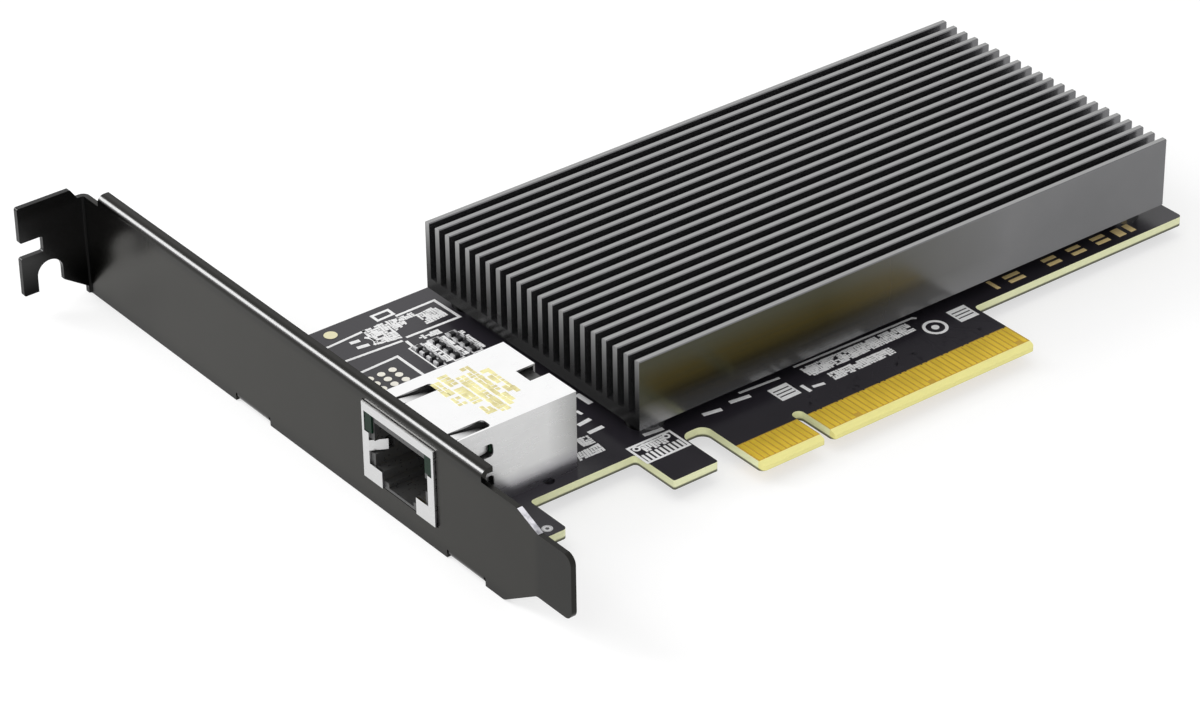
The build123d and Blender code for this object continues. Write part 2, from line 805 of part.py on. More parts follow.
def chip_spots_round_controller():
    """Rows of capacitors beside the controller's four sides, as (x, y, turn)."""
    spots = []
    for i in range(ring_capacitors):
        along = (i - (ring_capacitors - 1) / 2) * controller_size / ring_capacitors
        spots += [(sink_x + along, sink_y + side * ring_reach, 90) for side in (-1, 1)]
        spots += [(sink_x + side * ring_reach, sink_y + along, 0) for side in (-1, 1)]
    return spots


def network_spots():
    left = jack_back + network_gap
    return [(left + i * network_pitch_x, network_low_y + j * network_pitch_y, 0)
            for i in range(network_columns) for j in range(network_rows)]


def under_spots():
    return [(sink_x + (i - (under_grid - 1) / 2) * under_pitch,
             sink_y + (j - (under_grid - 1) / 2) * under_pitch, 0)
            for i in range(under_grid) for j in range(under_grid)]


def chip_bodies(spots, size, face_z, way):
    """The ceramic middles of surface-mounted chips, standing on one face of the board."""
    length, width, height = size
    middle = length * (1 - 2 * terminal_share)
    lift = face_z + way * (terminal_wrap + height / 2)
    body = Box(middle, width, height)
    return group(Pos(x, y, lift) * (Rot(Z=turn) * body) for x, y, turn in spots)


def chip_terminals(spots, size, face_z, way):
    """The plated ends of surface-mounted chips, which touch the board."""
    length, width, height = size
    cap = length * terminal_share
    thick = height + 2 * terminal_wrap
    end = Box(cap, width + 2 * terminal_wrap, thick)
    solids = []
    for x, y, turn in spots:
        for side in (-1, 1):
            shift = Pos(side * (length - cap) / 2, 0, 0)
            solids.append(Pos(x, y, face_z + way * thick / 2) * (Rot(Z=turn) * (shift * end)))
    return group(solids)


def power_places():
    """Places of the inductors, from left to right."""
    first = sink_x + ring_end + power_gap + inductor_size / 2
    return [(first + i * inductor_pitch, sink_y - power_drop) for i in range(inductor_count)]


def power_inductors():
    half = inductor_size / 2
    return group(along_z(rectangle(x - half, x + half, y - half, y + half, inductor_corner),
                         board_top, board_top + inductor_height) for x, y in power_places())


def regulators():
    half = regulator_size / 2
    rise = inductor_size / 2 + regulator_gap + half
    return group(along_z(rectangle(x - half, x + half, y + rise - half, y + rise + half,
                                   regulator_corner),
                         board_top, board_top + regulator_height) for x, y in power_places())


def bulk_capacitors():
    """Moulded capacitors with drafted sides, in one row."""
    solids = []
    first = sink_x - (bulk_count - 1) / 2 * bulk_pitch
    y = sink_y + ring_end + bulk_gap + bulk_length / 2
    for i in range(bulk_count):
        place = Pos(first + i * bulk_pitch, y)
        base = Plane.XY.offset(board_top) * (place * Rectangle(bulk_width, bulk_length))
        top = Plane.XY.offset(board_top + bulk_height) * (
            place * Rectangle(bulk_width - 2 * bulk_draft, bulk_length - 2 * bulk_draft))
        solids.append(loft([base.face(), top.face()]))
    return group(solids)


def crystal():
    x = sink_x - ring_end - crystal_gap - crystal_length / 2
    place = Pos(x, sink_y - crystal_drop)
    plan = place * RectangleRounded(crystal_length, crystal_width, crystal_corner)
    return along_z(plan, board_top, board_top + crystal_height)


def flash_chip():
    x = bracket_face + flash_from_bracket
    low = board_bottom - flash_standoff - flash_height
    return along_z(Pos(x, flash_y) * Rectangle(flash_length, flash_width),
                   low, board_bottom - flash_standoff)


def flash_leads():
    """Gull-wing leads on the memory chip's two long sides."""
    x = bracket_face + flash_from_bracket
    shoulder = board_bottom - flash_standoff - flash_height / 2
    near = flash_width / 2
    knee = near + flash_lead_knee
    leads = []
    for side in (-1, 1):
        run = [(near, shoulder), (knee, shoulder),
               (knee + flash_lead_lean, board_bottom - flash_lead_thickness),
               (flash_lead_span / 2, board_bottom - flash_lead_thickness)]
        section = folded_section(run, flash_lead_thickness, flash_lead_bend)
        wing = extrude(Plane.YZ * section, amount=flash_lead_width)
        if side < 0:
            wing = mirror(wing, about=Plane.XZ)
        for i in range(flash_lead_count):
            along = (i - (flash_lead_count - 1) / 2) * flash_lead_pitch - flash_lead_width / 2
            leads.append(Pos(x + along, flash_y, 0) * wing)
    return group(leads)


def header_pads():
    """Round pads of an unused pin header, filled with solder, on the component side."""
    return group(rod(x, y, board_top, board_top + pad_height, header_pad_radius)
                 for x, y in header_spots)


def fiducial_marks():
    high = board_height - fiducial_far_inset
    spots = [(bracket_face + fiducial_from_bracket, high),
             (board_right - fiducial_edge_inset, high)]
    return group(rod(x, y, board_top, board_top + pad_height, fiducial_radius) for x, y in spots)


sub_parts = {
    "circuit_board": circuit_board(),
    "edge_fingers_top": edge_fingers(board_top, 1, sensing_fingers_top),
    "edge_fingers_bottom": edge_fingers(board_bottom, -1, sensing_fingers_bottom),
    "bracket": bracket(),
    "bracket_screws": bracket_screws(),
    "heat_sink": heat_sink(),
    "heat_sink_screws": sink_screws(),
    "heat_sink_washers": sink_washers(),
    "controller_chip": controller_chip(),
    "thermal_pad": thermal_pad(),
    "jack_shield": jack_shield(),
    "jack_housing": jack_housing(),
    "jack_contacts": jack_contacts(),
    "indicator_window_left": indicator_window(1),
    "indicator_window_right": indicator_window(-1),
    "indicator_lamps": indicator_lamps(),
    "transformer_case": transformer_case(),
    "jack_pins": jack_pins(),
    "solder_joints": solder_joints(),
    "ring_capacitor_bodies": chip_bodies(chip_spots_round_controller(), capacitor_size, board_top, 1),
    "ring_capacitor_ends": chip_terminals(chip_spots_round_controller(), capacitor_size, board_top, 1),
    "network_resistor_bodies": chip_bodies(network_spots(), resistor_size, board_top, 1),
    "network_resistor_ends": chip_terminals(network_spots(), resistor_size, board_top, 1),
    "under_capacitor_bodies": chip_bodies(under_spots(), small_capacitor_size, board_bottom, -1),
    "under_capacitor_ends": chip_terminals(under_spots(), small_capacitor_size, board_bottom, -1),
    "power_inductors": power_inductors(),
    "regulators": regulators(),
    "bulk_capacitors": bulk_capacitors(),
    "crystal": crystal(),
    "flash_chip": flash_chip(),
    "flash_leads": flash_leads(),
    "header_pads": header_pads(),
    "fiducial_marks": fiducial_marks(),
}

os.makedirs("parts", exist_ok=True)
for name, shape in sub_parts.items():
    export_step(shape, f"parts/{name}.step")
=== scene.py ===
import math

import bpy
import numpy as np
from mathutils import Matrix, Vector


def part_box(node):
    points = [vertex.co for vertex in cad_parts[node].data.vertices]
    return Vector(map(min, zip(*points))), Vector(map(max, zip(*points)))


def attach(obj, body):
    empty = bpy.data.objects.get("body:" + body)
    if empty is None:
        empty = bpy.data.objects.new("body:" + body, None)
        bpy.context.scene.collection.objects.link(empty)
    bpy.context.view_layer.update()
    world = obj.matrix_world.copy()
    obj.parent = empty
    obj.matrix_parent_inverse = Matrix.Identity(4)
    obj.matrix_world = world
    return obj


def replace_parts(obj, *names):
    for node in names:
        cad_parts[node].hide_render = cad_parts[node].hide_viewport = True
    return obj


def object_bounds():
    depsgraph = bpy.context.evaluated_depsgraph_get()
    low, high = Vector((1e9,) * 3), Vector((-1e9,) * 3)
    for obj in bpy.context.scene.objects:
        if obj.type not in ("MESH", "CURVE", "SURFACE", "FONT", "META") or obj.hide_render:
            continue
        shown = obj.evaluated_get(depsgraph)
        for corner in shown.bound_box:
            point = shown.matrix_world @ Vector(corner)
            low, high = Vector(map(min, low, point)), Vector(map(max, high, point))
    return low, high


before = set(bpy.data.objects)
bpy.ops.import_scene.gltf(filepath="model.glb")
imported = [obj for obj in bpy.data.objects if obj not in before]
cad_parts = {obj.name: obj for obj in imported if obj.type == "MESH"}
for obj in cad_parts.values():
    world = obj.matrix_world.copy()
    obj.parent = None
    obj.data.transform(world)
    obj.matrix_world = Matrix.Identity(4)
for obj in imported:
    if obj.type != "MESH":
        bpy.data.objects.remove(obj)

CAD_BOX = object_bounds()

bl_info = {
    "name": "Network card looks",
    "version": (1, 0, 0),
    "blender": (4, 5, 0),
    "location": "3D View > Sidebar > Network card",
    "description": "Finishes, board print, copper relief and studio for a network interface card",
    "category": "Object",
}

# Lengths below are millimetres in the card's own frame until a mesh is made
MM = 0.001


def corners_mm(node):
    """The lowest and highest corner of a CAD node, in millimetres."""
    low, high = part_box(node)
    return np.array(low) / MM, np.array(high) / MM


BOARD_LOW, BOARD_HIGH = corners_mm("circuit_board")
BRACKET_LOW, BRACKET_HIGH = corners_mm("bracket")
SHIELD_LOW, SHIELD_HIGH = corners_mm("jack_shield")
SINK_LOW, SINK_HIGH = corners_mm("heat_sink")
FINGERS_LOW, FINGERS_HIGH = corners_mm("edge_fingers_top")
RESISTORS_LOW, RESISTORS_HIGH = corners_mm("network_resistor_ends")
BOARD_TOP = BOARD_HIGH[2]
BOARD_BOTTOM = BOARD_LOW[2]
RELIEF = 0.02
INK = 0.035
PIN_WIDTH = 0.5
PIN_ROWS = 2
PINS_IN_ROW = 6
EAR_HOLE = (-45.35, 6.4)
EAR_HOLE_RADIUS = 0.7
SCREW_RING_RADIUS = 1.62
TONGUE_ROOT = -6.0
FINGER_PITCH = 1.0
FIRST_TRACE = 1.5
TRACE_PLACES = 38
LOOSE_VIAS = 34
VIA_SEED = 7
VIA_SIDES = 12
VIAS_ALONG = (3.0, 36.0)

# The studio is laid out in metres and degrees
FLOOR_GAP = 0.0001
FLOOR_REACH = 3.0
SHADE_SEEN = 0.85
LAMP_TARGET = (0.0, 0.03, 0.0)
KEY_LAMP = ((-0.25, 0.15, 0.9), (0.8, 0.8))
FILL_LAMP = ((-0.9, -0.7, 0.55), (0.9, 0.9))
FOLD_LAMP = ((-0.524, 0.707, 0.517), (0.42, 0.5))
FILL_OF_KEY = 1.7
FULL_WHITE = (1.0, 1.0, 1.0)
CAMERA_PLACE = (-0.3392, -0.3904, 0.3338)
CAMERA_TURN = (58.377, 0.735, -37.844)
CAMERA_SHIFT = (0.0005, -0.0039)
CAMERA_NEAR = 0.01


def colour(name, description, default):
    """A colour that the sidebar shows."""
    return bpy.props.FloatVectorProperty(name=name, description=description, subtype="COLOR",
                                         size=3, min=0.0, max=1.0, default=default)


def share(name, description, default):
    """A share from 0 to 1."""
    return bpy.props.FloatProperty(name=name, description=description, subtype="FACTOR",
                                   min=0.0, max=1.0, default=default)


def length(name, description, default_mm):
    """A length that is given in millimetres and kept in metres."""
    return bpy.props.FloatProperty(name=name, description=description, subtype="DISTANCE",
                                   unit="LENGTH", min=0.0, default=default_mm * MM)


class CardColours(bpy.types.PropertyGroup):
    """Colours of the card's finishes"""
    mask: colour("Solder mask", "Black varnish over the copper", (0.019, 0.017, 0.022))
    laminate: colour("Laminate edge", "Cut edge of the glass-epoxy board", (0.86, 0.88, 0.55))
    lead_in: colour("Connector lead-in", "Bevelled edge in front of the fingers", (0.90, 0.84, 0.32))
    bare_laminate: colour("Bare laminate", "Unvarnished strip between the fingers", (0.56, 0.35, 0.04))
    gold: colour("Gold plating", "Fingers and contacts", (0.90, 0.64, 0.055))
    dull_gold: colour("Bare pads", "Gold pads at the free end and screw rings", (0.95, 0.70, 0.33))
    ink: colour("Print ink", "White print on the varnish", (0.88, 0.88, 0.88))
    label_ink: colour("Shield print", "Soft yellow print on the shield", (0.86, 0.80, 0.40))
    faded_ink: colour("Faded print", "Shield print where it has faded", (0.64, 0.57, 0.28))
    bracket: colour("Bracket", "Satin black nickel on the bracket's face", (0.040, 0.039, 0.035))
    # Painted shade on the flange; scaled, also the painted shade in its corner, at the bend, on the
    # tongue and along both rims
    flange: colour("Flange", "Darker nickel on the flange and the tongue", (0.03, 0.03, 0.03))
    # Painted highlight along the bracket's fold
    fold_highlight: colour("Worn fold", "Rubbed line along the bracket's fold", (0.11, 0.11, 0.11))
    # The tongue's bare cut edge, brightened as a painted highlight; the next colour is its darker
    # mottling
    sheared_highlight: colour("Sheared edge", "Bare cut edge of the tongue", (0.78, 0.77, 0.82))
    sheared_highlight_low: colour("Rough sheared edge", "Darker places on that edge", (0.34, 0.34, 0.38))
    fins: colour("Anodised fins", "Sides of the heat sink", (0.175, 0.175, 0.18))
    # Painted reflection on the heat sink's front next to the jack
    fin_reflection: colour("Fin tint", "Heat sink's front next to the jack", (0.061, 0.062, 0.047))
    # Painted highlight on the fins' upper edges and the tops of the sawn ends
    fin_top_highlight: colour("Fin tops", "Upper edges of the fins", (0.34, 0.34, 0.34))
    shield: colour("Shield plating", "Bright plating on the jack's shield", (0.95, 0.95, 0.95))
    # Painted shade low on the shield's walls
    shield_foot_shade: colour("Shield foot", "Plating low on the shield's walls", (0.30, 0.29, 0.32))
    jack_plastic: colour("Jack plastic", "Black insulator and case", (0.04, 0.04, 0.04))
    window: colour("Indicator window", "Dark green light guides", (0.003, 0.018, 0.009))
    lamp: colour("Indicator lamp", "Unlit lamps behind the windows", (0.05, 0.1, 0.065))
    tin: colour("Tin plating", "Leads, pins and terminals", (0.74, 0.74, 0.75))


class CardSizes(bpy.types.PropertyGroup):
    """Sizes of what the print and the copper relief add"""
    stroke: length("Print stroke", "Width of a printed line", 0.48)
    grain: length("Print grain", "Pitch of the small blocks in a printed field", 0.5)
    trace: length("Trace width", "Width of a copper trace under the varnish", 0.24)
    via: length("Via radius", "Outer radius of a covered via", 0.32)
    ring: length("Hole ring", "Width of the plated ring round a screw hole", 0.9)


class CardStudio(bpy.types.PropertyGroup):
    """Camera, floor and lamps"""
    lens: bpy.props.FloatProperty(name="Lens", description="Focal length of the camera",
                                  default=130.6, min=1.0, unit="CAMERA")
    floor: colour("Floor", "Colour of the pale floor", (0.93, 0.93, 0.93))
    shade: share("Shadow depth", "Share of the floor's look that comes from light", 0.45)
    world: share("Sky", "Strength of the even white surroundings", 0.62)
    key: bpy.props.FloatProperty(name="Key lamp", description="Power of the large soft lamp",
                                 default=1.9, min=0.0, unit="POWER")
    fold: bpy.props.FloatProperty(name="Fold lamp", description="Power of the lamp that the bracket's "
                                  "fold mirrors as a bright line", default=5.0, min=0.0, unit="POWER")


class Finish:
    """A material or a sky under construction, with short calls that add nodes and join them."""

    NOISE_DETAIL = 3.0
    SPOT_CORE = 0.35
    # Where a Mix node keeps its two colours and its mixed colour
    COLOURS_IN, COLOUR_OUT = (6, 7), 2

    def __init__(self, name, metallic=0.0, roughness=0.5, specular=0.5, sky=False):
        self.made = (bpy.data.worlds if sky else bpy.data.materials).new(name)
        self.made.use_nodes = True
        self.tree = self.made.node_tree
        self.place = self.tree.nodes.new("ShaderNodeTexCoord").outputs["Object"]
        self.shader = self.tree.nodes["Background" if sky else "Principled BSDF"]
        if not sky:
            self.shader.inputs["Metallic"].default_value = metallic
            self.shader.inputs["Roughness"].default_value = roughness
            self.shader.inputs["Specular IOR Level"].default_value = specular

    def join(self, source, target):
        """Link a node's output to a socket, or set the socket to a number or a colour."""
        if hasattr(source, "links"):
            self.tree.links.new(source, target)
        else:
            target.default_value = (*source, 1.0) if isinstance(source, tuple) else source

    def set(self, socket, source):
        """Join a source to one of the shader's own sockets."""
        self.join(source, self.shader.inputs[socket])

    def part(self, source, name):
        """One part of a direction or place."""
        split = self.tree.nodes.new("ShaderNodeSeparateXYZ")
        self.join(source, split.inputs[0])
        return split.outputs[name]

    def axis(self, name):
        """One part of the point's place in the card's frame."""
        return self.part(self.place, name)

    def facing(self, name):
        """One part of the surface's direction in the card's frame."""
        return self.part(self.tree.nodes.new("ShaderNodeTexCoord").outputs["Normal"], name)

    def maths(self, operation, first, second=0.0):
        """One step of arithmetic on two values."""
        node = self.tree.nodes.new("ShaderNodeMath")
        node.operation = operation
        self.join(first, node.inputs[0])
        self.join(second, node.inputs[1])
        return node.outputs[0]

    def over(self, value, limit):
        """1 where the value is over the limit, and 0 elsewhere."""
        return self.maths("GREATER_THAN", value, limit)

    def under(self, value, limit):
        """1 where the value is under the limit, and 0 elsewhere."""
        return self.maths("LESS_THAN", value, limit)

    def past(self, name, place_mm):
        """1 beyond a place on one axis, in millimetres, and 0 before it."""
        return self.over(self.axis(name), place_mm * MM)

    def before(self, name, place_mm):
        """1 before a place on one axis, in millimetres, and 0 beyond it."""
        return self.under(self.axis(name), place_mm * MM)

    def size(self, value):
        """The value without its sign."""
        return self.maths("ABSOLUTE", value)

    def rest(self, taken):
        """What a share leaves of 1."""
        return self.maths("SUBTRACT", 1.0, taken)

    def between(self, value, low, high, to_low=0.0, to_high=1.0):
        """The value's place from low to high, held at both ends."""
        node = self.tree.nodes.new("ShaderNodeMapRange")
        for socket, given in zip(node.inputs, (value, low, high, to_low, to_high)):
            self.join(given, socket)
        return node.outputs[0]

    def along(self, name, low_mm, high_mm, to_low=0.0, to_high=1.0):
        """A ramp along one axis, between two places in millimetres."""
        return self.between(self.axis(name), low_mm * MM, high_mm * MM, to_low, to_high)

    def both(self, *shares):
        """The product of several shares."""
        total = shares[0]
        for other in shares[1:]:
            total = self.maths("MULTIPLY", total, other)
        return total

    def spot(self, centre_mm, reach_mm):
        """1 round a place, falling to 0 at its reach along each axis, by the scaled offset's length."""
        mapping = self.tree.nodes.new("ShaderNodeMapping")
        mapping.inputs["Scale"].default_value = [1.0 / (reach * MM) for reach in reach_mm]
        mapping.inputs["Location"].default_value = [-at / reach
                                                    for at, reach in zip(centre_mm, reach_mm)]
        self.join(self.place, mapping.inputs[0])
        offset = self.tree.nodes.new("ShaderNodeVectorMath")
        offset.operation = "LENGTH"
        self.join(mapping.outputs[0], offset.inputs[0])
        return self.between(offset.outputs["Value"], self.SPOT_CORE, 1.0, 1.0, 0.0)

    def mix(self, factor, first, second):
        """The first colour where the factor is 0, and the second where it is 1."""
        node = self.tree.nodes.new("ShaderNodeMix")
        node.data_type = "RGBA"
        self.join(factor, node.inputs[0])
        for socket, given in zip(self.COLOURS_IN, (first, second)):
            self.join(given, node.inputs[socket])
        return node.outputs[self.COLOUR_OUT]

    def wander(self, grain, shade, low, high):
        """The shade at two strengths, mixed by the grain."""
        return self.mix(grain, scaled(shade, low), scaled(shade, high))

    def noise(self, grain_mm, stretch=(1.0, 1.0, 1.0)):
        """Noise whose grain is about that many millimetres, stretched along each axis."""
        mapping = self.tree.nodes.new("ShaderNodeMapping")
        mapping.inputs["Scale"].default_value = [1.0 / by for by in stretch]
        node = self.tree.nodes.new("ShaderNodeTexNoise")
        node.inputs["Scale"].default_value = 1.0 / (grain_mm * MM)
        node.inputs["Detail"].default_value = self.NOISE_DETAIL
        self.join(self.place, mapping.inputs[0])
        self.join(mapping.outputs[0], node.inputs["Vector"])
        return node.outputs[0]

    def seen(self):
        """1 for the camera, a mirror image or a clear part, and 0 for light."""
        path = self.tree.nodes.new("ShaderNodeLightPath").outputs
        mirrored = self.maths("MAXIMUM", path["Is Camera Ray"], path["Is Glossy Ray"])
        return self.maths("MAXIMUM", mirrored, path["Is Transmission Ray"])

    def bump(self, height, depth_mm, strength=1.0):
        """Raise the surface by a height from 0 to 1, times a depth in millimetres."""
        node = self.tree.nodes.new("ShaderNodeBump")
        node.inputs["Strength"].default_value = strength
        node.inputs["Distance"].default_value = depth_mm * MM
        self.join(height, node.inputs["Height"])
        self.set("Normal", node.outputs[0])


def scaled(shade, by):
    """The shade with each part multiplied."""
    return tuple(value * by for value in shade)


def varied(name, shade, grain_mm, spread=0.25, metallic=0.0, roughness=(0.4, 0.55),
           bump_mm=0.004, stretch=(1.0, 1.0, 1.0), specular=0.5):
    """A plain finish whose colour, gloss and surface all wander a little with the grain."""
    finish = Finish(name, metallic=metallic, specular=specular)
    grain = finish.noise(grain_mm, stretch)
    lightest = tuple(min(1.0, value * (1.0 + spread)) for value in shade)
    finish.set("Base Color", finish.mix(grain, scaled(shade, 1.0 - spread), lightest))
    finish.set("Roughness", finish.between(grain, 0.3, 0.7, *roughness))
    finish.bump(grain, bump_mm)
    return finish.made


def board_finish(colours):
    """Varnish on the two faces, bare laminate at the connector, layered glass cloth on every edge.

    The edge is dark along its lower side, partly the bottom copper and varnish and partly painted shade,
    and painted shade darkens the drilled holes round the jack.
    """
    varnish_skin = 0.006
    bare_margin = 0.25
    connector_margin = 1.2
    lead_in_reach = 1.3
    drilled_from = 7.2
    drilled_margin = 1.2
    finish = Finish("board", specular=0.42)
    on_face = finish.over(finish.size(finish.axis("Z")), (BOARD_TOP - varnish_skin) * MM)
    tabs = finish.past("X", FINGERS_LOW[0] - connector_margin)
    bare = finish.both(finish.before("Y", FINGERS_HIGH[1] + bare_margin), tabs)
    mask = finish.wander(finish.noise(9.0), colours.mask, 0.8, 1.3)
    cloth = finish.noise(0.5, stretch=(3.0, 3.0, 0.25))
    edge = finish.wander(cloth, colours.laminate, 0.86, 1.12)
    lead_in = finish.wander(cloth, colours.lead_in, 0.92, 1.05)
    edge = finish.mix(finish.both(finish.before("Y", lead_in_reach), tabs), edge, lead_in)
    # Dark along the edge's lower side: partly the bottom copper and varnish, partly painted shade
    underside_and_shade = finish.along("Z", BOARD_BOTTOM + 0.28, BOARD_BOTTOM + 0.5, 1.0, 0.0)
    edge = finish.mix(underside_and_shade, edge, scaled(colours.laminate, 0.12))
    # Painted shade in the drilled holes round the jack
    drilled = finish.both(finish.past("X", SHIELD_LOW[0] + drilled_from),
                          finish.before("X", SHIELD_HIGH[0] + drilled_margin),
                          finish.past("Y", SHIELD_LOW[1] - drilled_margin),
                          finish.before("Y", SHIELD_HIGH[1] + drilled_margin))
    edge = finish.mix(drilled, edge, scaled(colours.mask, 3.5))
    faces = finish.mix(bare, mask, tuple(colours.bare_laminate))
    finish.set("Base Color", finish.mix(on_face, edge, faces))
    finish.set("Roughness", finish.between(on_face, 0.0, 1.0, 0.6, 0.3))
    weave = finish.maths("ADD", finish.noise(0.45, stretch=(4.0, 1.0, 1.0)),
                         finish.noise(0.45, stretch=(1.0, 4.0, 1.0)))
    finish.bump(weave, 0.006, 0.6)
    return finish.made


def fin_finish(colours):
    """Black anodising with lines along the extrusion, with a painted highlight on the fins' upper edges
    and on the sawn ends, whose lower part has painted shade.

    The front wall carries a painted reflection next to the jack, which fades to the plain anodising
    along its length and is lighter at its foot.
    """
    front_skin = 0.3
    reflection_from, reflection_to = 34.0, 70.0
    foot_from, foot_to = 2.5, 6.5
    finish = Finish("anodised_fins", specular=0.2)
    lines = finish.noise(0.35, stretch=(60.0, 1.0, 1.0))
    side = finish.wander(finish.noise(14.0), colours.fins, 0.85, 1.15)
    top = finish.wander(lines, colours.fin_top_highlight, 0.85, 1.1)
    front = finish.both(finish.under(finish.facing("Y"), -0.8),
                        finish.before("Y", SINK_LOW[1] + front_skin))
    # Painted reflection next to the jack, held in tint: dark greenish up the wall, lighter at its foot
    near_jack = finish.along("X", SINK_LOW[0] + reflection_from, SINK_LOW[0] + reflection_to, 1.0, 0.0)
    reflected = finish.both(front, near_jack)
    foot = finish.along("Z", SINK_LOW[2] + foot_from, SINK_LOW[2] + foot_to, 1.0, 0.0)
    tint = finish.mix(foot, tuple(colours.fin_reflection), scaled(colours.fins, 1.35))
    side = finish.mix(reflected, side, tint)
    # Painted highlight on the fins' upper edges
    upper = finish.both(finish.along("Z", SINK_HIGH[2] - 0.16, SINK_HIGH[2] - 0.06),
                        finish.between(finish.facing("Z"), 0.75, 0.95))
    # Sawn ends: painted shade low down, rising to a painted highlight at the top
    sawn = finish.over(finish.size(finish.facing("X")), 0.8)
    rise = finish.along("Z", SINK_LOW[2] + 3.0, SINK_HIGH[2])
    end = finish.mix(finish.both(rise, rise), scaled(colours.fins, 0.015),
                     scaled(colours.fin_top_highlight, 1.1))
    finish.set("Base Color", finish.mix(sawn, finish.mix(upper, side, top), end))
    dulled = finish.maths("MAXIMUM", sawn, finish.maths("SUBTRACT", front, reflected))
    finish.set("Metallic", finish.between(dulled, 0.0, 1.0, 0.9, 0.35))
    finish.set("Roughness", finish.between(lines, 0.3, 0.7, 0.18, 0.26))
    finish.bump(finish.both(lines, finish.rest(sawn)), 0.003, 0.3)
    return finish.made


def shield_finish(colours):
    """Bright plating over rolled sheet, with painted shade in front, down the walls and on the sprung
    leaves.
    """
    foot_from, foot_to = 0.8, 4.0
    back_reach = 5.0
    leaf_from, leaf_to = 1.0, 0.12
    finish = Finish("bright_plating", metallic=1.0)
    lines = finish.noise(0.3, stretch=(8.0, 8.0, 1.0))
    cloud = finish.noise(3.0)
    bright = finish.wander(cloud, colours.shield, 0.97, 1.0)
    upward = finish.over(finish.facing("Z"), 0.5)
    # Painted shade on the front face
    forward = finish.under(finish.facing("X"), -0.5)
    bright = finish.mix(forward, bright, scaled(colours.shield, 0.68))
    # Painted shade on the walls, deepening towards the back and deepest at the foot
    wall = finish.maths("SUBTRACT", finish.rest(upward), forward)
    foot_shade = finish.along("Z", BOARD_TOP + foot_from, BOARD_TOP + foot_to, 1.0, 0.0)
    foot_shade = finish.maths("ADD", foot_shade, finish.between(cloud, 0.35, 0.65, -0.03, 0.03))
    back = finish.along("X", SHIELD_HIGH[0] - back_reach, SHIELD_HIGH[0])
    low = finish.wander(back, colours.shield, 0.68, 0.4)
    low = finish.mix(foot_shade, low, tuple(colours.shield_foot_shade))
    shade = finish.mix(wall, bright, low)
    # Painted shade on the sprung leaves, which lie below the top
    sunk = finish.along("Z", SHIELD_HIGH[2] - leaf_from, SHIELD_HIGH[2] - leaf_to, 1.0, 0.0)
    leaf_shade = finish.both(upward, sunk)
    finish.set("Base Color", finish.mix(leaf_shade, shade, scaled(colours.shield, 0.14)))
    finish.set("Roughness", finish.between(lines, 0.3, 0.7, 0.26, 0.34))
    finish.bump(lines, 0.001, 0.05)
    return finish.made


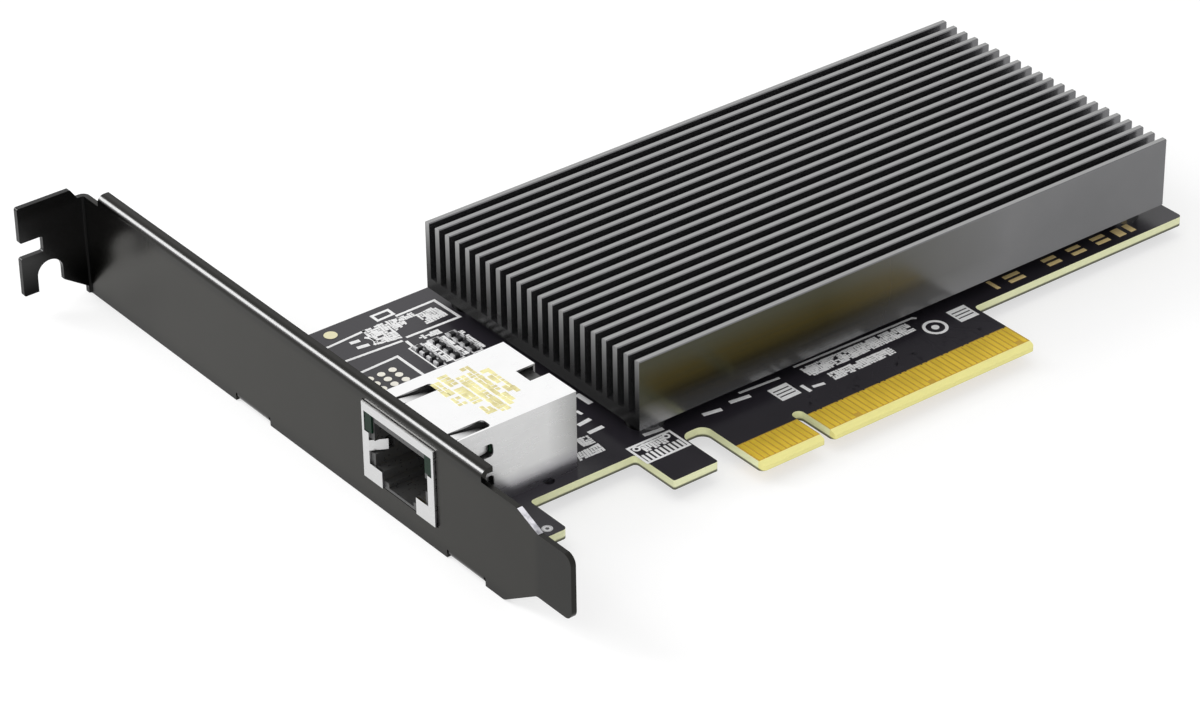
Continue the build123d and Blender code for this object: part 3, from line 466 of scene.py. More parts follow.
def bracket_finish(colours):
    """Satin black nickel, with painted shade on the flange, in its corner, at the bend, on the tongue,
    along both rims and towards the tongue's end.

    The fold has a painted highlight line, and the tongue's cut edge is bare, with a painted highlight.
    """
    finish = Finish("black_nickel")
    top = BRACKET_HIGH[1]
    peel = finish.noise(0.3)
    face = finish.wander(finish.noise(12.0), colours.bracket, 0.9, 1.12)
    # Painted shade on the face, deepening towards the tongue's end
    lower_end_shade = finish.along("Y", BRACKET_LOW[1], top, 0.35, 0.0)
    face = finish.mix(lower_end_shade, face, scaled(colours.bracket, 0.4))
    # Painted shade in the corner where the face meets the flange, broken up by noise
    corner = finish.spot((BRACKET_LOW[0], top - 2.0, BRACKET_HIGH[2] - 3.5), (5.0, 5.5, 5.0))
    corner_shade = finish.both(corner, finish.between(finish.noise(3.5), 0.3, 0.5, 0.6, 1.0))
    # Painted shade on the flange, darker low down on it, and at the bend into it
    flange = finish.along("Y", top - 2.4, top - 1.2)
    bend = finish.both(finish.between(finish.facing("X"), -0.15, -0.3),
                       finish.between(finish.facing("Y"), -0.15, -0.3),
                       finish.along("Y", top - 4.5, top - 3.5))
    rise = finish.along("Z", BRACKET_LOW[2] + 4.0, BRACKET_LOW[2] + 9.0)
    # Painted shade beyond the tongue's root, along the top rim and along the lower edge
    tongue = finish.along("Y", TONGUE_ROOT - 0.4, TONGUE_ROOT - 1.4, 0.0, 0.45)
    rim = finish.along("Z", BRACKET_HIGH[2] - 2.6, BRACKET_HIGH[2] - 1.6, 0.0, 0.4)
    hem_shade = finish.along("Z", BRACKET_LOW[2], BRACKET_LOW[2] + 2.2, 0.55, 0.0)
    deep_shade = scaled(colours.flange, 0.5)
    for share_of_shade, shade in ((corner_shade, deep_shade),
                                 (flange, finish.wander(rise, colours.flange, 0.3, 1.5)),
                                 (bend, scaled(colours.flange, 0.25)),
                                 (tongue, deep_shade),
                                 (rim, deep_shade),
                                 (hem_shade, deep_shade)):
        face = finish.mix(share_of_shade, face, shade)
    # Painted highlight along the middle of the fold
    fold_highlight = finish.both(finish.between(finish.facing("X"), -0.4, -0.6),
                       finish.between(finish.facing("Z"), 0.4, 0.6),
                       finish.along("Y", top - 3.0, top - 4.5),
                       finish.along("Y", TONGUE_ROOT, TONGUE_ROOT + 3.0))
    face = finish.mix(fold_highlight, face, tuple(colours.fold_highlight))
    # The tongue's bare cut edge, with a painted highlight that noise mottles
    sheared_highlight = finish.both(finish.under(finish.size(finish.facing("X")), 0.3),
                          finish.under(finish.facing("Y"), -0.2),
                          finish.over(finish.facing("Z"), 0.2),
                          finish.along("Y", TONGUE_ROOT - 3.0, TONGUE_ROOT))
    bright = finish.mix(finish.between(finish.noise(1.2), 0.35, 0.6),
                        tuple(colours.sheared_highlight_low), tuple(colours.sheared_highlight))
    finish.set("Base Color", finish.mix(sheared_highlight, face, bright))
    finish.set("Metallic", finish.rest(sheared_highlight))
    finish.set("Roughness", finish.between(peel, 0.3, 0.7, 0.2, 0.27))
    finish.bump(peel, 0.002, 0.25)
    return finish.made


def window_finish(colours):
    """Tinted clear plastic, deeper in colour towards the inside."""
    finish = Finish("tinted_window", specular=0.1)
    depth = finish.along("X", SHIELD_LOW[0] + 0.5, SHIELD_LOW[0] + 2.0)
    cloud = finish.noise(2.0)
    tint = finish.wander(cloud, colours.window, 0.8, 1.2)
    finish.set("Base Color", finish.mix(depth, tint, scaled(colours.window, 0.1)))
    finish.set("Roughness", finish.between(cloud, 0.3, 0.7, 0.15, 0.25))
    finish.bump(cloud, 0.003)
    return finish.made


def label_finish(colours):
    """Worn yellow ink that fades towards the plating from block to block."""
    finish = Finish("shield_ink", metallic=0.35)
    fresh = finish.between(finish.noise(1.6), 0.38, 0.6)
    finish.set("Base Color", finish.mix(fresh, tuple(colours.faded_ink), tuple(colours.label_ink)))
    finish.set("Roughness", finish.between(fresh, 0.0, 1.0, 0.5, 0.35))
    finish.bump(fresh, 0.002)
    return finish.made


def dress(material, *nodes):
    """Give CAD nodes their finish through their own material slots."""
    for name in nodes:
        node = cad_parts[name]
        if not node.material_slots:
            raise RuntimeError(f"{name} has no material slot")
        for place in node.material_slots:
            place.material = material


def grid_faces(rows, columns, closed_rows=False, closed_columns=False):
    """Quads between neighbouring points of a grid that is counted row by row."""
    i, j = np.meshgrid(np.arange(rows if closed_rows else rows - 1),
                       np.arange(columns if closed_columns else columns - 1), indexing="ij")
    far_i = (i + 1) % rows * columns
    far_j = (j + 1) % columns
    return np.stack([i * columns + j, i * columns + far_j, far_i + far_j, far_i + j], -1).reshape(-1, 4)


def prisms(outlines, low, high):
    """Upright prisms: each anticlockwise outline stands at both heights, joined by a ring of quads."""
    count, corners = outlines.shape[:2]
    ring = np.arange(corners)
    following = np.roll(ring, -1)
    levels = [np.concatenate([outlines, np.full((count, corners, 1), z)], 2) for z in (low, high)]
    start = np.arange(count)[:, None] * 2 * corners
    sides = np.stack([ring, following, following + corners, ring + corners], 1)
    faces = (start[:, :, None] + sides).reshape(-1, 4).tolist()
    faces += (start + ring + corners).tolist() + (start + ring[::-1]).tolist()
    return np.concatenate(levels, 1).reshape(-1, 3), faces


def bars(rows, low, high):
    """Flat bars from rows of (x, y, length, width, turn): a unit square, scaled, turned and moved."""
    x, y, long, wide, turn = np.asarray(rows, float).T
    turn = np.radians(turn)
    square = np.array([(-0.5, -0.5), (0.5, -0.5), (0.5, 0.5), (-0.5, 0.5)])
    a = square[:, 0] * long[:, None]
    b = square[:, 1] * wide[:, None]
    cos, sin = np.cos(turn)[:, None], np.sin(turn)[:, None]
    outlines = np.stack([x[:, None] + a * cos - b * sin, y[:, None] + a * sin + b * cos], -1)
    return prisms(outlines, low, high)


def discs(centres, radius, low, high, sides=24):
    """Upright discs: the same circle round each centre."""
    angle = np.arange(sides) * 2 * math.pi / sides
    circle = radius * np.stack([np.cos(angle), np.sin(angle)], -1)
    return prisms(np.asarray(centres, float)[:, None] + circle, low, high)


def rings(centres, inner, outer, low, high, sides=24):
    """Flat rings: a rectangular section turned about each centre."""
    angle = np.arange(sides) * 2 * math.pi / sides
    radius = np.array([inner, outer, outer, inner])
    level = np.array([low, low, high, high])
    centres = np.asarray(centres, float)
    x = centres[:, 0, None, None] + radius * np.cos(angle)[:, None]
    y = centres[:, 1, None, None] + radius * np.sin(angle)[:, None]
    points = np.stack([x, y, np.broadcast_to(level, x.shape)], -1)
    faces = grid_faces(sides, 4, True, True)[:, ::-1]
    start = np.arange(len(centres))[:, None, None] * sides * 4
    return points.reshape(-1, 3), (start + faces).reshape(-1, 4).tolist()


def strip(path, width, low, high, closed=False):
    """A flat ribbon: each point of the path moves sideways along the mitre of its two runs."""
    path = np.asarray(path, float)
    ahead = np.roll(path, -1, 0) - path
    if not closed:
        ahead[-1] = ahead[-2]
    ahead /= np.linalg.norm(ahead, axis=1, keepdims=True)
    side = np.stack([-ahead[:, 1], ahead[:, 0]], -1)
    before = np.roll(side, 1, 0)
    if not closed:
        before[0] = side[0]
    mitre = (side + before) / (1.0 + (side * before).sum(1, keepdims=True)) * width / 2
    edges = [path - mitre, path + mitre]
    section = [np.column_stack([edge, np.full(len(path), z)])
               for edge, z in ((edges[0], low), (edges[1], low), (edges[1], high), (edges[0], high))]
    points = np.stack(section, 1).reshape(-1, 3)
    faces = grid_faces(len(path), 4, closed, True)[:, ::-1].tolist()
    if not closed:
        last = (len(path) - 1) * 4
        faces += [[0, 1, 2, 3], [last + 3, last + 2, last + 1, last]]
    return points, faces


def arc(x, y, radius, start, end, steps=14):
    """Points along a circle's arc, its angles in degrees."""
    angle = np.radians(np.linspace(start, end, steps))
    return np.stack([x + radius * np.cos(angle), y + radius * np.sin(angle)], -1)


def joined(shapes):
    """Several shapes as one set of points and faces."""
    points, faces = [], []
    count = 0
    for shape_points, shape_faces in shapes:
        points.append(shape_points)
        faces += [[corner + count for corner in face] for face in shape_faces]
        count += len(shape_points)
    return np.concatenate(points), faces


def piece(name, shapes, material):
    """A new object with its place in its mesh, which rides on the card."""
    points, faces = joined(shapes)
    mesh = bpy.data.meshes.new(name)
    mesh.from_pydata(points * MM, [], faces)
    mesh.materials.append(material)
    mesh.validate()
    made = bpy.data.objects.new(name, mesh)
    bpy.context.scene.collection.objects.link(made)
    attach(made, "root")
    return made


def turned(centres, profile, sides=20):
    """Upright turned shapes: a profile of (radius, height) rows round each centre, with flat ends."""
    angle = np.arange(sides) * 2 * math.pi / sides
    radius, level = np.asarray(profile, float).T
    centres = np.asarray(centres, float)
    x = centres[:, 0, None, None] + radius[:, None] * np.cos(angle)
    y = centres[:, 1, None, None] + radius[:, None] * np.sin(angle)
    points = np.stack([x, y, np.broadcast_to(level[:, None], x.shape)], -1)
    size = len(radius) * sides
    ring = np.arange(sides)
    start = np.arange(len(centres))[:, None] * size
    faces = (start[:, :, None] + grid_faces(len(radius), sides, False, True)).reshape(-1, 4).tolist()
    faces += (start + ring[::-1]).tolist() + (start + size - sides + ring).tolist()
    return points.reshape(-1, 3), faces


def frame_line(corners, width, low, high):
    """A closed printed line through the corners."""
    return strip(corners, width, low, high, closed=True)


def field(corners, pitch, seed, low, high, fill=0.92):
    """Small blocks over a four-cornered field, each of its own size, with some left out.

    A block's corners lie at shares u and v of the field, and a corner's place is the mean of the
    field's corners weighted by (1-u)(1-v), u(1-v), uv and (1-u)v.
    """
    smallest, largest = 0.32, 0.56
    corners = np.asarray(corners, float)
    across = np.linalg.norm(corners[1] - corners[0])
    along = np.linalg.norm(corners[3] - corners[0])
    columns, rows = max(1, round(across / pitch)), max(1, round(along / pitch))
    draw = np.random.default_rng(seed)
    u, v = np.meshgrid((np.arange(columns) + 0.5) / columns, (np.arange(rows) + 0.5) / rows)
    kept = draw.uniform(size=u.size) < fill
    half_u = draw.uniform(smallest, largest, u.size) / columns
    half_v = draw.uniform(smallest, largest, u.size) / rows
    signs = np.array([(-1, -1), (1, -1), (1, 1), (-1, 1)])
    u = np.clip(u.ravel()[:, None] + half_u[:, None] * signs[:, 0], 0, 1)[kept]
    v = np.clip(v.ravel()[:, None] + half_v[:, None] * signs[:, 1], 0, 1)[kept]
    weights = np.stack([(1 - u) * (1 - v), u * (1 - v), u * v, (1 - u) * v], -1)
    return prisms(weights @ corners, low, high)


def rectangle(x0, x1, y0, y1):
    """The four corners of an upright rectangle, anticlockwise."""
    return [(x0, y0), (x1, y0), (x1, y1), (x0, y1)]


# Places of the print, in millimetres from the key notch and the connector's leading edge. A bar is
# its middle, length, width and turn in degrees, and the arc its centre, radius, start and end
PRINT_LINES = [[(-42.6, 55.4), (-35.25, 55.7), (-35.25, 48.7)], [(-42.5, 64.1), (-34.7, 64.6)],
               [(-42.5, 59.4), (-32.1, 58.8)], [(-31.75, 58.4), (-31.95, 55.6)],
               [(-31.15, 59.2), (-21.6, 59.0), (-21.75, 65.2), (-28.85, 65.1)]]
PRINT_FRAME = [(-31.65, 65.7), (-28.75, 65.8), (-28.75, 67.3), (-31.65, 67.3)]
PRINT_BARS = [(-37.75, 62.9, 1.6, 0.75, -8), (-37.5, 61.15, 2.0, 0.75, -9), (-21.2, 29.5, 3.2, 0.9, 92),
              (-23.95, 27.0, 1.2, 0.5, 96), (-24.95, 24.55, 2.4, 0.75, 7), (-24.9, 21.95, 2.7, 0.75, 2),
              (-18.9, 16.4, 3.3, 0.7, -6), (-9.15, 15.2, 3.1, 0.75, -10), (-3.9, 15.4, 3.5, 0.75, -7),
              (0.6, 16.5, 7.2, 0.45, -4), (5.3, 11.65, 2.1, 0.6, 92), (7.3, 11.2, 2.0, 0.6, -10)]
PRINT_FIELDS = [[(-35.6, 60.2), (-31.6, 59.4), (-31.0, 64.9), (-35.3, 64.8)],
                [(-31.2, 61.6), (-28.7, 62.3), (-28.6, 64.4), (-31.1, 64.9)],
                [(-26.6, 60.3), (-22.5, 60.5), (-22.8, 63.9), (-26.4, 63.6)],
                [(-29.3, 63.3), (-26.4, 63.3), (-26.4, 64.6), (-29.3, 64.6)],
                [(-29.8, 57.2), (-26.2, 56.9), (-26.2, 58.2), (-29.8, 58.5)],
                [(-30.6, 49.9), (-29.5, 49.9), (-29.5, 56.2), (-30.6, 56.2)],
                [(-27.6, 49.9), (-26.5, 49.9), (-26.5, 56.2), (-27.6, 56.2)],
                [(-24.6, 49.9), (-23.5, 49.9), (-23.5, 55.8), (-24.6, 55.8)],
                [(-31.6, 16.9), (-27.0, 16.9), (-26.8, 19.0), (-31.0, 18.8)],
                [(-29.0, 19.5), (-26.9, 19.3), (-26.6, 21.6), (-28.8, 21.9)],
                [(7.9, 13.5), (28.2, 13.7), (28.2, 16.2), (7.9, 16.3)],
                [(10.1, 10.7), (21.9, 10.8), (21.9, 12.7), (10.1, 12.8)]]
PRINT_ARC = (-36.9, 61.7, 1.6, 55, -55)
LONG_LINE = [(7.6, 17.2), (30.0, 16.7), (30.4, 16.2)]
TABLE = (-24.5, -17.0, 10.6, 15.2)
TABLE_DOTS = [(-18.2, 14.4), (-23.5, 14.4)]
RING_MARK = (30.9, 12.6)
HATCHES = [(2.3, 12.9), (36.6, 13.0)]
HATCH_HALF = 1.6
HATCH_ROW = (3.0, 0.5)
HATCH_STEPS = np.linspace(-1.2, 1.2, 4)
GOLD_PADS = [(45.6, 16.2, 0.7, 2.6, 0), (49.6, 16.7, 3.0, 0.8, 0), (49.6, 15.3, 3.0, 0.8, 0),
             (57.2, 16.7, 2.6, 0.8, 0), (57.2, 15.3, 2.6, 0.8, 0), (62.2, 16.7, 2.6, 0.8, 0),
             (62.2, 15.3, 2.6, 0.8, 0), (67.2, 15.3, 2.6, 0.8, 0), (67.2, 16.7, 2.6, 0.8, 0),
             (70.8, 15.8, 1.5, 2.2, 0), (73.0, 15.8, 1.1, 2.2, 0)]
# Rows of the shield's print: the way back from its front face, then where the row starts and ends
SHIELD_ROWS = [(10.4, 22.5, 29.6), (12.3, 18.4, 30.6), (14.2, 17.8, 28.9), (16.1, 18.6, 30.4),
               (18.0, 20.6, 28.2)]
# Half of a row's depth, and the pitch of its blocks
SHIELD_BLOCK = 0.8


class CARD_OT_board(bpy.types.Operator):
    """Finish the board: varnish, bare connector strip and cut edges"""
    bl_idname = "card.board"
    bl_label = "Board"

    def execute(self, context):
        dress(board_finish(context.scene.card_colours), "circuit_board")
        return {"FINISHED"}


class CARD_OT_plating(bpy.types.Operator):
    """Gold and tin the fingers, contacts, pins, pads and terminals"""
    bl_idname = "card.plating"
    bl_label = "Plating"

    def execute(self, context):
        colours = context.scene.card_colours
        gold = varied("gold_plating", colours.gold, 0.6, 0.1, 0.45, (0.3, 0.42), 0.003, (1, 6, 1))
        dress(gold, "edge_fingers_top", "edge_fingers_bottom", "jack_contacts")
        pale_gold = varied("pale_gold", (0.80, 0.76, 0.50), 0.5, 0.08, 0.5, (0.35, 0.5))
        dress(pale_gold, "fiducial_marks")
        tin = varied("tin_plating", colours.tin, 0.3, 0.12, 0.8, (0.28, 0.45))
        dress(tin, "ring_capacitor_ends", "network_resistor_ends", "under_capacitor_ends",
              "flash_leads", "jack_pins", "crystal")
        dress(varied("pad_solder", (0.88, 0.85, 0.76), 0.4, 0.08, 0.4, (0.35, 0.5)), "header_pads")
        solder = varied("solder", (0.66, 0.66, 0.68), 0.5, 0.15, 1.0, (0.18, 0.35), 0.02)
        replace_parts(piece("solder_fillets", [self.fillets()], solder), "solder_joints")
        piece("ear_hole_plating", self.hole_plating(), tin)
        return {"FINISHED"}

    def fillets(self):
        """Hollow cones of solder: the radius grows from the tip with the square of the way up."""
        low, high = corners_mm("solder_joints")
        pins_low, pins_high = corners_mm("jack_pins")
        half = PIN_WIDTH / 2
        tip = half * 1.5
        x, y = np.meshgrid(np.linspace(pins_low[0] + half, pins_high[0] - half, PIN_ROWS),
                           np.linspace(pins_low[1] + half, pins_high[1] - half, PINS_IN_ROW))
        way_up = np.linspace(0.0, 1.0, 7)
        root = (high[1] - low[1] - (pins_high[1] - pins_low[1]) + PIN_WIDTH) / 2
        radius = tip + (root - tip) * way_up ** 2
        level = low[2] + (high[2] - low[2]) * way_up
        return turned(np.stack([x.ravel(), y.ravel()], -1), np.stack([radius, level], -1))

    def hole_plating(self):
        """A tin sleeve in the ear's tooling hole, with a thin rim on each face."""
        inside, fit = EAR_HOLE_RADIUS - 0.4, EAR_HOLE_RADIUS - 0.01
        rim_from, rim_to = EAR_HOLE_RADIUS - 0.05, EAR_HOLE_RADIUS + 0.1
        sleeve = rings([EAR_HOLE], inside, fit, BOARD_BOTTOM - RELIEF, BOARD_TOP + RELIEF)
        rims = [rings([EAR_HOLE], rim_from, rim_to, low, low + RELIEF)
                for low in (BOARD_BOTTOM - RELIEF, BOARD_TOP)]
        return [sleeve, *rims]


class CARD_OT_bracket(bpy.types.Operator):
    """Coat the folded bracket and plate the screws"""
    bl_idname = "card.bracket"
    bl_label = "Bracket and screws"

    def execute(self, context):
        dress(bracket_finish(context.scene.card_colours), "bracket")
        nickel = varied("nickel", (0.62, 0.62, 0.63), 0.4, 0.1, 1.0, (0.22, 0.36), 0.004)
        dress(nickel, "bracket_screws", "heat_sink_screws")
        fibre = varied("fibre", (0.05, 0.045, 0.04), 0.3, 0.3, 0.0, (0.7, 0.85), 0.01)
        dress(fibre, "heat_sink_washers")
        return {"FINISHED"}


class CARD_OT_heat_sink(bpy.types.Operator):
    """Anodise the heat sink and finish the pad below it"""
    bl_idname = "card.heat_sink"
    bl_label = "Heat sink"

    def execute(self, context):
        dress(fin_finish(context.scene.card_colours), "heat_sink")
        silicone = varied("silicone_pad", (0.33, 0.36, 0.4), 0.8, 0.12, 0.0, (0.6, 0.8), 0.01)
        dress(silicone, "thermal_pad")
        return {"FINISHED"}


class CARD_OT_jack(bpy.types.Operator):
    """Plate the shield and finish the socket, the windows and the case behind"""
    bl_idname = "card.jack"
    bl_label = "Jack"

    def execute(self, context):
        colours = context.scene.card_colours
        dress(shield_finish(colours), "jack_shield")
        plastic = varied("jack_plastic", colours.jack_plastic, 0.5, 0.2, 0.0, (0.25, 0.4), 0.003)
        dress(plastic, "jack_housing", "transformer_case")
        dress(window_finish(colours), "indicator_window_left", "indicator_window_right")
        dress(varied("lamp", colours.lamp, 0.6, 0.1, 0.0, (0.15, 0.25)), "indicator_lamps")
        return {"FINISHED"}


class CARD_OT_small_parts(bpy.types.Operator):
    """Finish the chips, capacitors, resistors and inductors"""
    bl_idname = "card.small_parts"
    bl_label = "Small parts"

    def execute(self, context):
        epoxy = varied("moulded_epoxy", (0.022, 0.022, 0.024), 0.25, 0.3, 0.0, (0.5, 0.65), 0.006)
        dress(epoxy, "controller_chip", "regulators", "flash_chip", "bulk_capacitors")
        powder = varied("pressed_powder", (0.09, 0.09, 0.092), 0.2, 0.35, 0.0, (0.6, 0.8), 0.012)
        dress(powder, "power_inductors")
        ceramic = varied("capacitor_ceramic", (0.36, 0.27, 0.18), 0.2, 0.12, 0.0, (0.4, 0.55))
        dress(ceramic, "ring_capacitor_bodies", "under_capacitor_bodies")
        glaze = varied("resistor_glaze", (0.02, 0.02, 0.022), 0.2, 0.3, 0.0, (0.25, 0.4))
        dress(glaze, "network_resistor_bodies")
        return {"FINISHED"}


class CARD_OT_copper(bpy.types.Operator):
    """Raise the traces and covered vias under the varnish"""
    bl_idname = "card.copper"
    bl_label = "Copper relief"

    def execute(self, context):
        colours, sizes = context.scene.card_colours, context.scene.card_sizes
        relief = varied("varnish_over_copper", scaled(colours.mask, 1.1), 3.0, 0.2, 0.0, (0.28, 0.38),
                        specular=0.42)
        via = sizes.via / MM
        for side, low, via_rows in (("top", BOARD_TOP, (7.2, 9.8)),
                                    ("bottom", BOARD_BOTTOM - RELIEF, (28.0, 62.0))):
            high = low + RELIEF
            lines, ends = self.traces(side, sizes.trace / MM, low, high)
            draw = np.random.default_rng(VIA_SEED)
            x = draw.uniform(*VIAS_ALONG, LOOSE_VIAS)
            y = draw.uniform(*via_rows, LOOSE_VIAS)
            shapes = [*lines, rings(ends, via / 2, via, low, high, VIA_SIDES),
                      rings(np.stack([x, y], 1), via / 2, via * 0.9, low, high, VIA_SIDES)]
            piece("traces_" + side, shapes, relief)
        return {"FINISHED"}

    def traces(self, side, width, low, high):
        """Pairs of traces from the fingers, drawn together by a slanted run, and the place of each end.

        A trace goes straight back, then at 45 degrees until it is at a fixed share of its distance
        from the heat sink's middle, and straight on to its via.
        """
        gathered = 0.55
        first_turn, turn_step = 7.6, 0.03
        top_end, bottom_end, end_step = 22.0, 17.0, 0.2
        middle = (SINK_LOW[0] + SINK_HIGH[0]) / 2
        lines, ends = [], []
        for number in range(TRACE_PLACES):
            if number % 4 in (0, 3):
                continue
            x = FIRST_TRACE + number * FINGER_PITCH
            end_x = middle + (x - middle) * gathered
            turn_y = first_turn + turn_step * number
            slant_y = turn_y + abs(end_x - x)
            end_y = top_end if side == "top" else bottom_end + end_step * (number % 7)
            if slant_y < end_y:
                path = [(x, FINGERS_HIGH[1]), (x, turn_y), (end_x, slant_y), (end_x, end_y)]
                lines.append(strip(path, width, low, high))
                ends.append((end_x, end_y))
        return lines, ends


class CARD_OT_board_print(bpy.types.Operator):
    """Lay the white frames, bars and fields on the component side"""
    bl_idname = "card.board_print"
    bl_label = "Board print"

    def execute(self, context):
        colours, sizes = context.scene.card_colours, context.scene.card_sizes
        ink = varied("white_ink", colours.ink, 0.4, 0.12, 0.0, (0.55, 0.7), 0.004)
        thin, grain = sizes.stroke / MM, sizes.grain / MM
        low, high = BOARD_TOP, BOARD_TOP + INK
        shapes = [strip(line, thin, low, high) for line in (*PRINT_LINES, arc(*PRINT_ARC))]
        shapes.append(frame_line(PRINT_FRAME, thin, low, high))
        shapes += [field(corners, grain, seed, low, high) for seed, corners in enumerate(PRINT_FIELDS)]
        shapes.append(bars(PRINT_BARS, low, high))
        shapes += self.resistor_frames(low, high)
        shapes += self.connector_print(low, high, grain)
        piece("board_print", shapes, ink)
        return {"FINISHED"}

    def resistor_frames(self, low, high):
        """A thin frame round each column of small resistors."""
        reach, line, margin = 0.8, 0.24, 0.5
        columns = np.linspace(RESISTORS_LOW[0] + margin, RESISTORS_HIGH[0] - margin, 3)
        y0, y1 = RESISTORS_LOW[1] - margin, RESISTORS_HIGH[1] + margin
        return [frame_line(rectangle(x - reach, x + reach, y0, y1), line, low, high) for x in columns]

    def connector_print(self, low, high, grain):
        """The striped table, the ring and the hatched squares beside the edge connector."""
        x0, x1, y0, y1 = TABLE
        table_line = 0.4
        count, margin, rise, long, wide = 9, 0.6, 1.1, 1.9, 0.42
        stripes = [(x, y0 + rise, long, wide, 90.0)
                   for x in np.linspace(x0 + margin, x1 - margin, count)]
        upper = field(rectangle(x0 + 1.6, x1 - 1.7, y0 + 2.3, y1 - 0.3), grain, 40, low, high)
        shapes = [frame_line(rectangle(*TABLE), table_line, low, high), bars(stripes, low, high), upper,
                  rings(TABLE_DOTS, 0.3, 0.62, low, high), strip(LONG_LINE, table_line, low, high),
                  rings([RING_MARK], 1.45, 1.95, low, high, 36), discs([RING_MARK], 0.6, low, high)]
        for x, y in HATCHES:
            rows = [(x, y + step, *HATCH_ROW, 0.0) for step in HATCH_STEPS]
            square = rectangle(x - HATCH_HALF, x + HATCH_HALF, y - HATCH_HALF, y + HATCH_HALF)
            shapes += [bars(rows, low, high), frame_line(square, 0.3, low, high)]
        return shapes


class CARD_OT_gold_print(bpy.types.Operator):
    """Bare gold pads along the free end of the board and rings round the screw holes"""
    bl_idname = "card.gold_print"
    bl_label = "Bare gold pads"

    def execute(self, context):
        colours = context.scene.card_colours
        gold = varied("dull_gold", colours.dull_gold, 0.4, 0.15, 0.1, (0.4, 0.55))
        top = (BOARD_TOP, BOARD_TOP + INK)
        bottom = (BOARD_BOTTOM - INK, BOARD_BOTTOM)
        piece("gold_pads", [bars(GOLD_PADS, *top)], gold)
        outer = SCREW_RING_RADIUS + context.scene.card_sizes.ring / MM
        piece("screw_hole_rings", [rings(screw_spots(), SCREW_RING_RADIUS, outer, *levels, 40)
                                   for levels in (top, bottom)], gold)
        return {"FINISHED"}


def screw_spots():
    """Centres of the two bracket screws, from the box that holds both."""
    low, high = corners_mm("bracket_screws")
    radius = (high[0] - low[0]) / 2
    x = (low[0] + high[0]) / 2
    return [(x, low[1] + radius), (x, high[1] - radius)]


class CARD_OT_shield_print(bpy.types.Operator):
    """Lay rows of soft yellow blocks on the shield's top"""
    bl_idname = "card.shield_print"
    bl_label = "Shield print"

    def execute(self, context):
        top = SHIELD_HIGH[2]
        shapes = []
        for seed, (inset, y0, y1) in enumerate(SHIELD_ROWS, 60):
            x = SHIELD_LOW[0] + inset
            row = rectangle(x - SHIELD_BLOCK, x + SHIELD_BLOCK, y0, y1)
            shapes.append(field(row, SHIELD_BLOCK, seed, top, top + RELIEF, 0.93))
        piece("shield_print", shapes, label_finish(context.scene.card_colours))
        return {"FINISHED"}


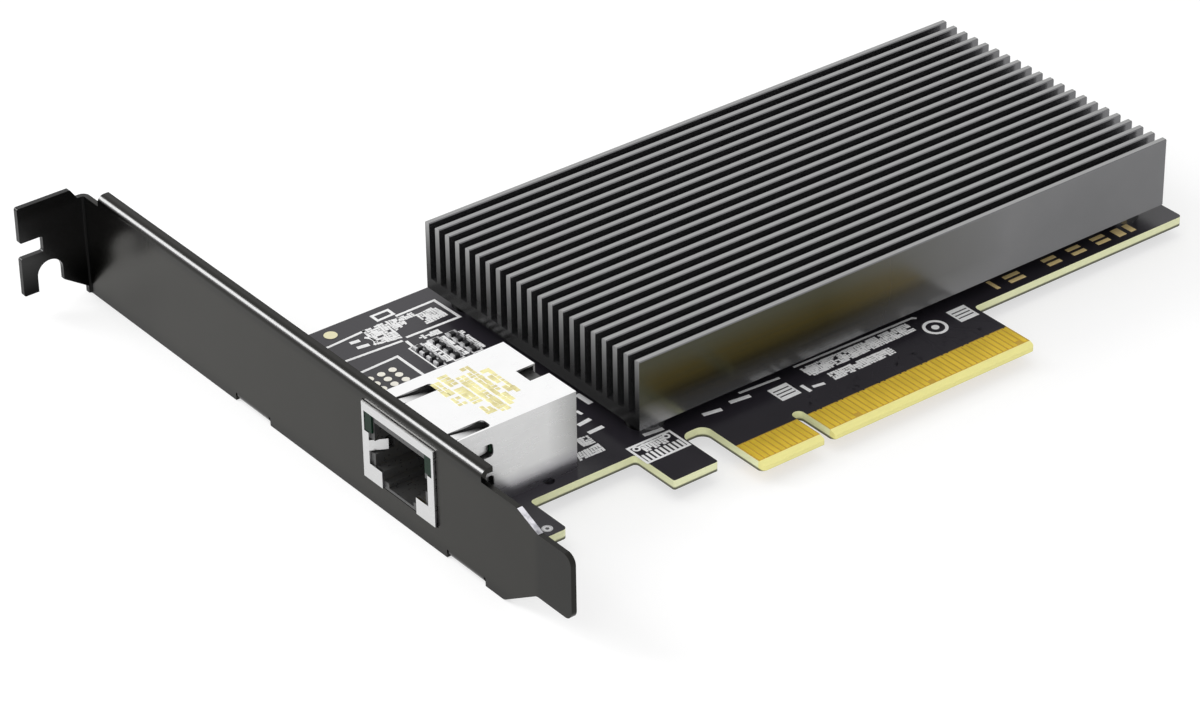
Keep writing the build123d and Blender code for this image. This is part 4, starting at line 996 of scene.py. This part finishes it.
class CARD_OT_stage(bpy.types.Operator):
    """Set up the pale floor, the even sky, the soft lamps and the camera"""
    bl_idname = "card.stage"
    bl_label = "Stage"

    def execute(self, context):
        studio = context.scene.card_studio
        self.floor(studio)
        sky = Finish("sky", sky=True)
        sky.set("Strength", sky.between(sky.seen(), 0.0, 1.0, studio.world, 1.0))
        sky.set("Color", FULL_WHITE)
        context.scene.world = sky.made
        self.lamp("key_lamp", *KEY_LAMP, studio.key)
        self.lamp("fill_lamp", *FILL_LAMP, studio.key * FILL_OF_KEY)
        self.lamp("fold_lamp", *FOLD_LAMP, studio.fold)
        camera = bpy.data.cameras.new("camera")
        camera.lens = studio.lens
        camera.shift_x, camera.shift_y = CAMERA_SHIFT
        camera.clip_start = CAMERA_NEAR
        holder = bpy.data.objects.new("camera", camera)
        holder.location = CAMERA_PLACE
        holder.rotation_euler = [math.radians(turn) for turn in CAMERA_TURN]
        context.scene.collection.objects.link(holder)
        context.scene.camera = holder
        context.scene.view_settings.view_transform = "Standard"
        return {"FINISHED"}

    def floor(self, studio):
        """A large square just under the card's lowest point, white where no shadow falls on it."""
        corners = rectangle(-FLOOR_REACH, FLOOR_REACH, -FLOOR_REACH, FLOOR_REACH)
        mesh = bpy.data.meshes.new("floor")
        height = CAD_BOX[0].z - FLOOR_GAP
        mesh.from_pydata([(x, y, height) for x, y in corners], [], [(0, 1, 2, 3)])
        finish = Finish("floor", roughness=0.9, specular=0.0)
        seen = finish.seen()
        shaded = scaled(studio.floor, studio.shade)
        finish.set("Base Color", finish.mix(seen, tuple(studio.floor), shaded))
        finish.set("Emission Color", FULL_WHITE)
        finish.set("Emission Strength", finish.maths("MULTIPLY", seen, 1.0 - studio.shade * SHADE_SEEN))
        mesh.materials.append(finish.made)
        made = bpy.data.objects.new("floor", mesh)
        bpy.context.scene.collection.objects.link(made)

    def lamp(self, name, place, size, power):
        """A rectangular area lamp that faces the card, with its second side as near to Y as it can be."""
        light = bpy.data.lights.new(name, "AREA")
        light.shape = "RECTANGLE"
        light.size, light.size_y = size
        light.energy = power
        holder = bpy.data.objects.new(name, light)
        holder.location = place
        ahead = (Vector(LAMP_TARGET) - Vector(place)).normalized()
        across = Vector((0.0, 1.0, 0.0))
        up = (across - ahead * across.dot(ahead)).normalized()
        holder.matrix_world = placed(up.cross(-ahead), up, -ahead, place)
        holder.visible_camera = False
        bpy.context.scene.collection.objects.link(holder)


def placed(x_axis, y_axis, z_axis, place):
    """The matrix of an object with these axes at this place."""
    return Matrix(((*x_axis, 0.0), (*y_axis, 0.0), (*z_axis, 0.0), (*place, 1.0))).transposed()


class CARD_PT_panel(bpy.types.Panel):
    """The card's steps and settings in the sidebar"""
    bl_idname = "CARD_PT_panel"
    bl_label = "Network card"
    bl_space_type = "VIEW_3D"
    bl_region_type = "UI"
    bl_category = "Network card"

    def draw(self, context):
        """One button for each step, then one box for each group of settings."""
        column = self.layout.column()
        for step in STEPS:
            column.operator(step.bl_idname, text=step.bl_label)
        for group in (context.scene.card_colours, context.scene.card_sizes, context.scene.card_studio):
            box = self.layout.box()
            for name in group.bl_rna.properties.keys():
                if name not in ("rna_type", "name"):
                    box.prop(group, name)


GROUPS = {"card_colours": CardColours, "card_sizes": CardSizes, "card_studio": CardStudio}
STEPS = (CARD_OT_board, CARD_OT_plating, CARD_OT_bracket, CARD_OT_heat_sink, CARD_OT_jack,
         CARD_OT_small_parts, CARD_OT_copper, CARD_OT_board_print, CARD_OT_gold_print,
         CARD_OT_shield_print, CARD_OT_stage)


def register():
    """Add the settings, the steps and the panel."""
    for kind in (*GROUPS.values(), *STEPS, CARD_PT_panel):
        bpy.utils.register_class(kind)
    for name, group in GROUPS.items():
        setattr(bpy.types.Scene, name, bpy.props.PointerProperty(type=group))


def unregister():
    """Take them away again."""
    for name in GROUPS:
        delattr(bpy.types.Scene, name)
    for kind in reversed((*GROUPS.values(), *STEPS, CARD_PT_panel)):
        bpy.utils.unregister_class(kind)


def main():
    register()
    for step in STEPS:
        getattr(bpy.ops.card, step.bl_idname.split(".")[1])()


if __name__ == "__main__":
    main()
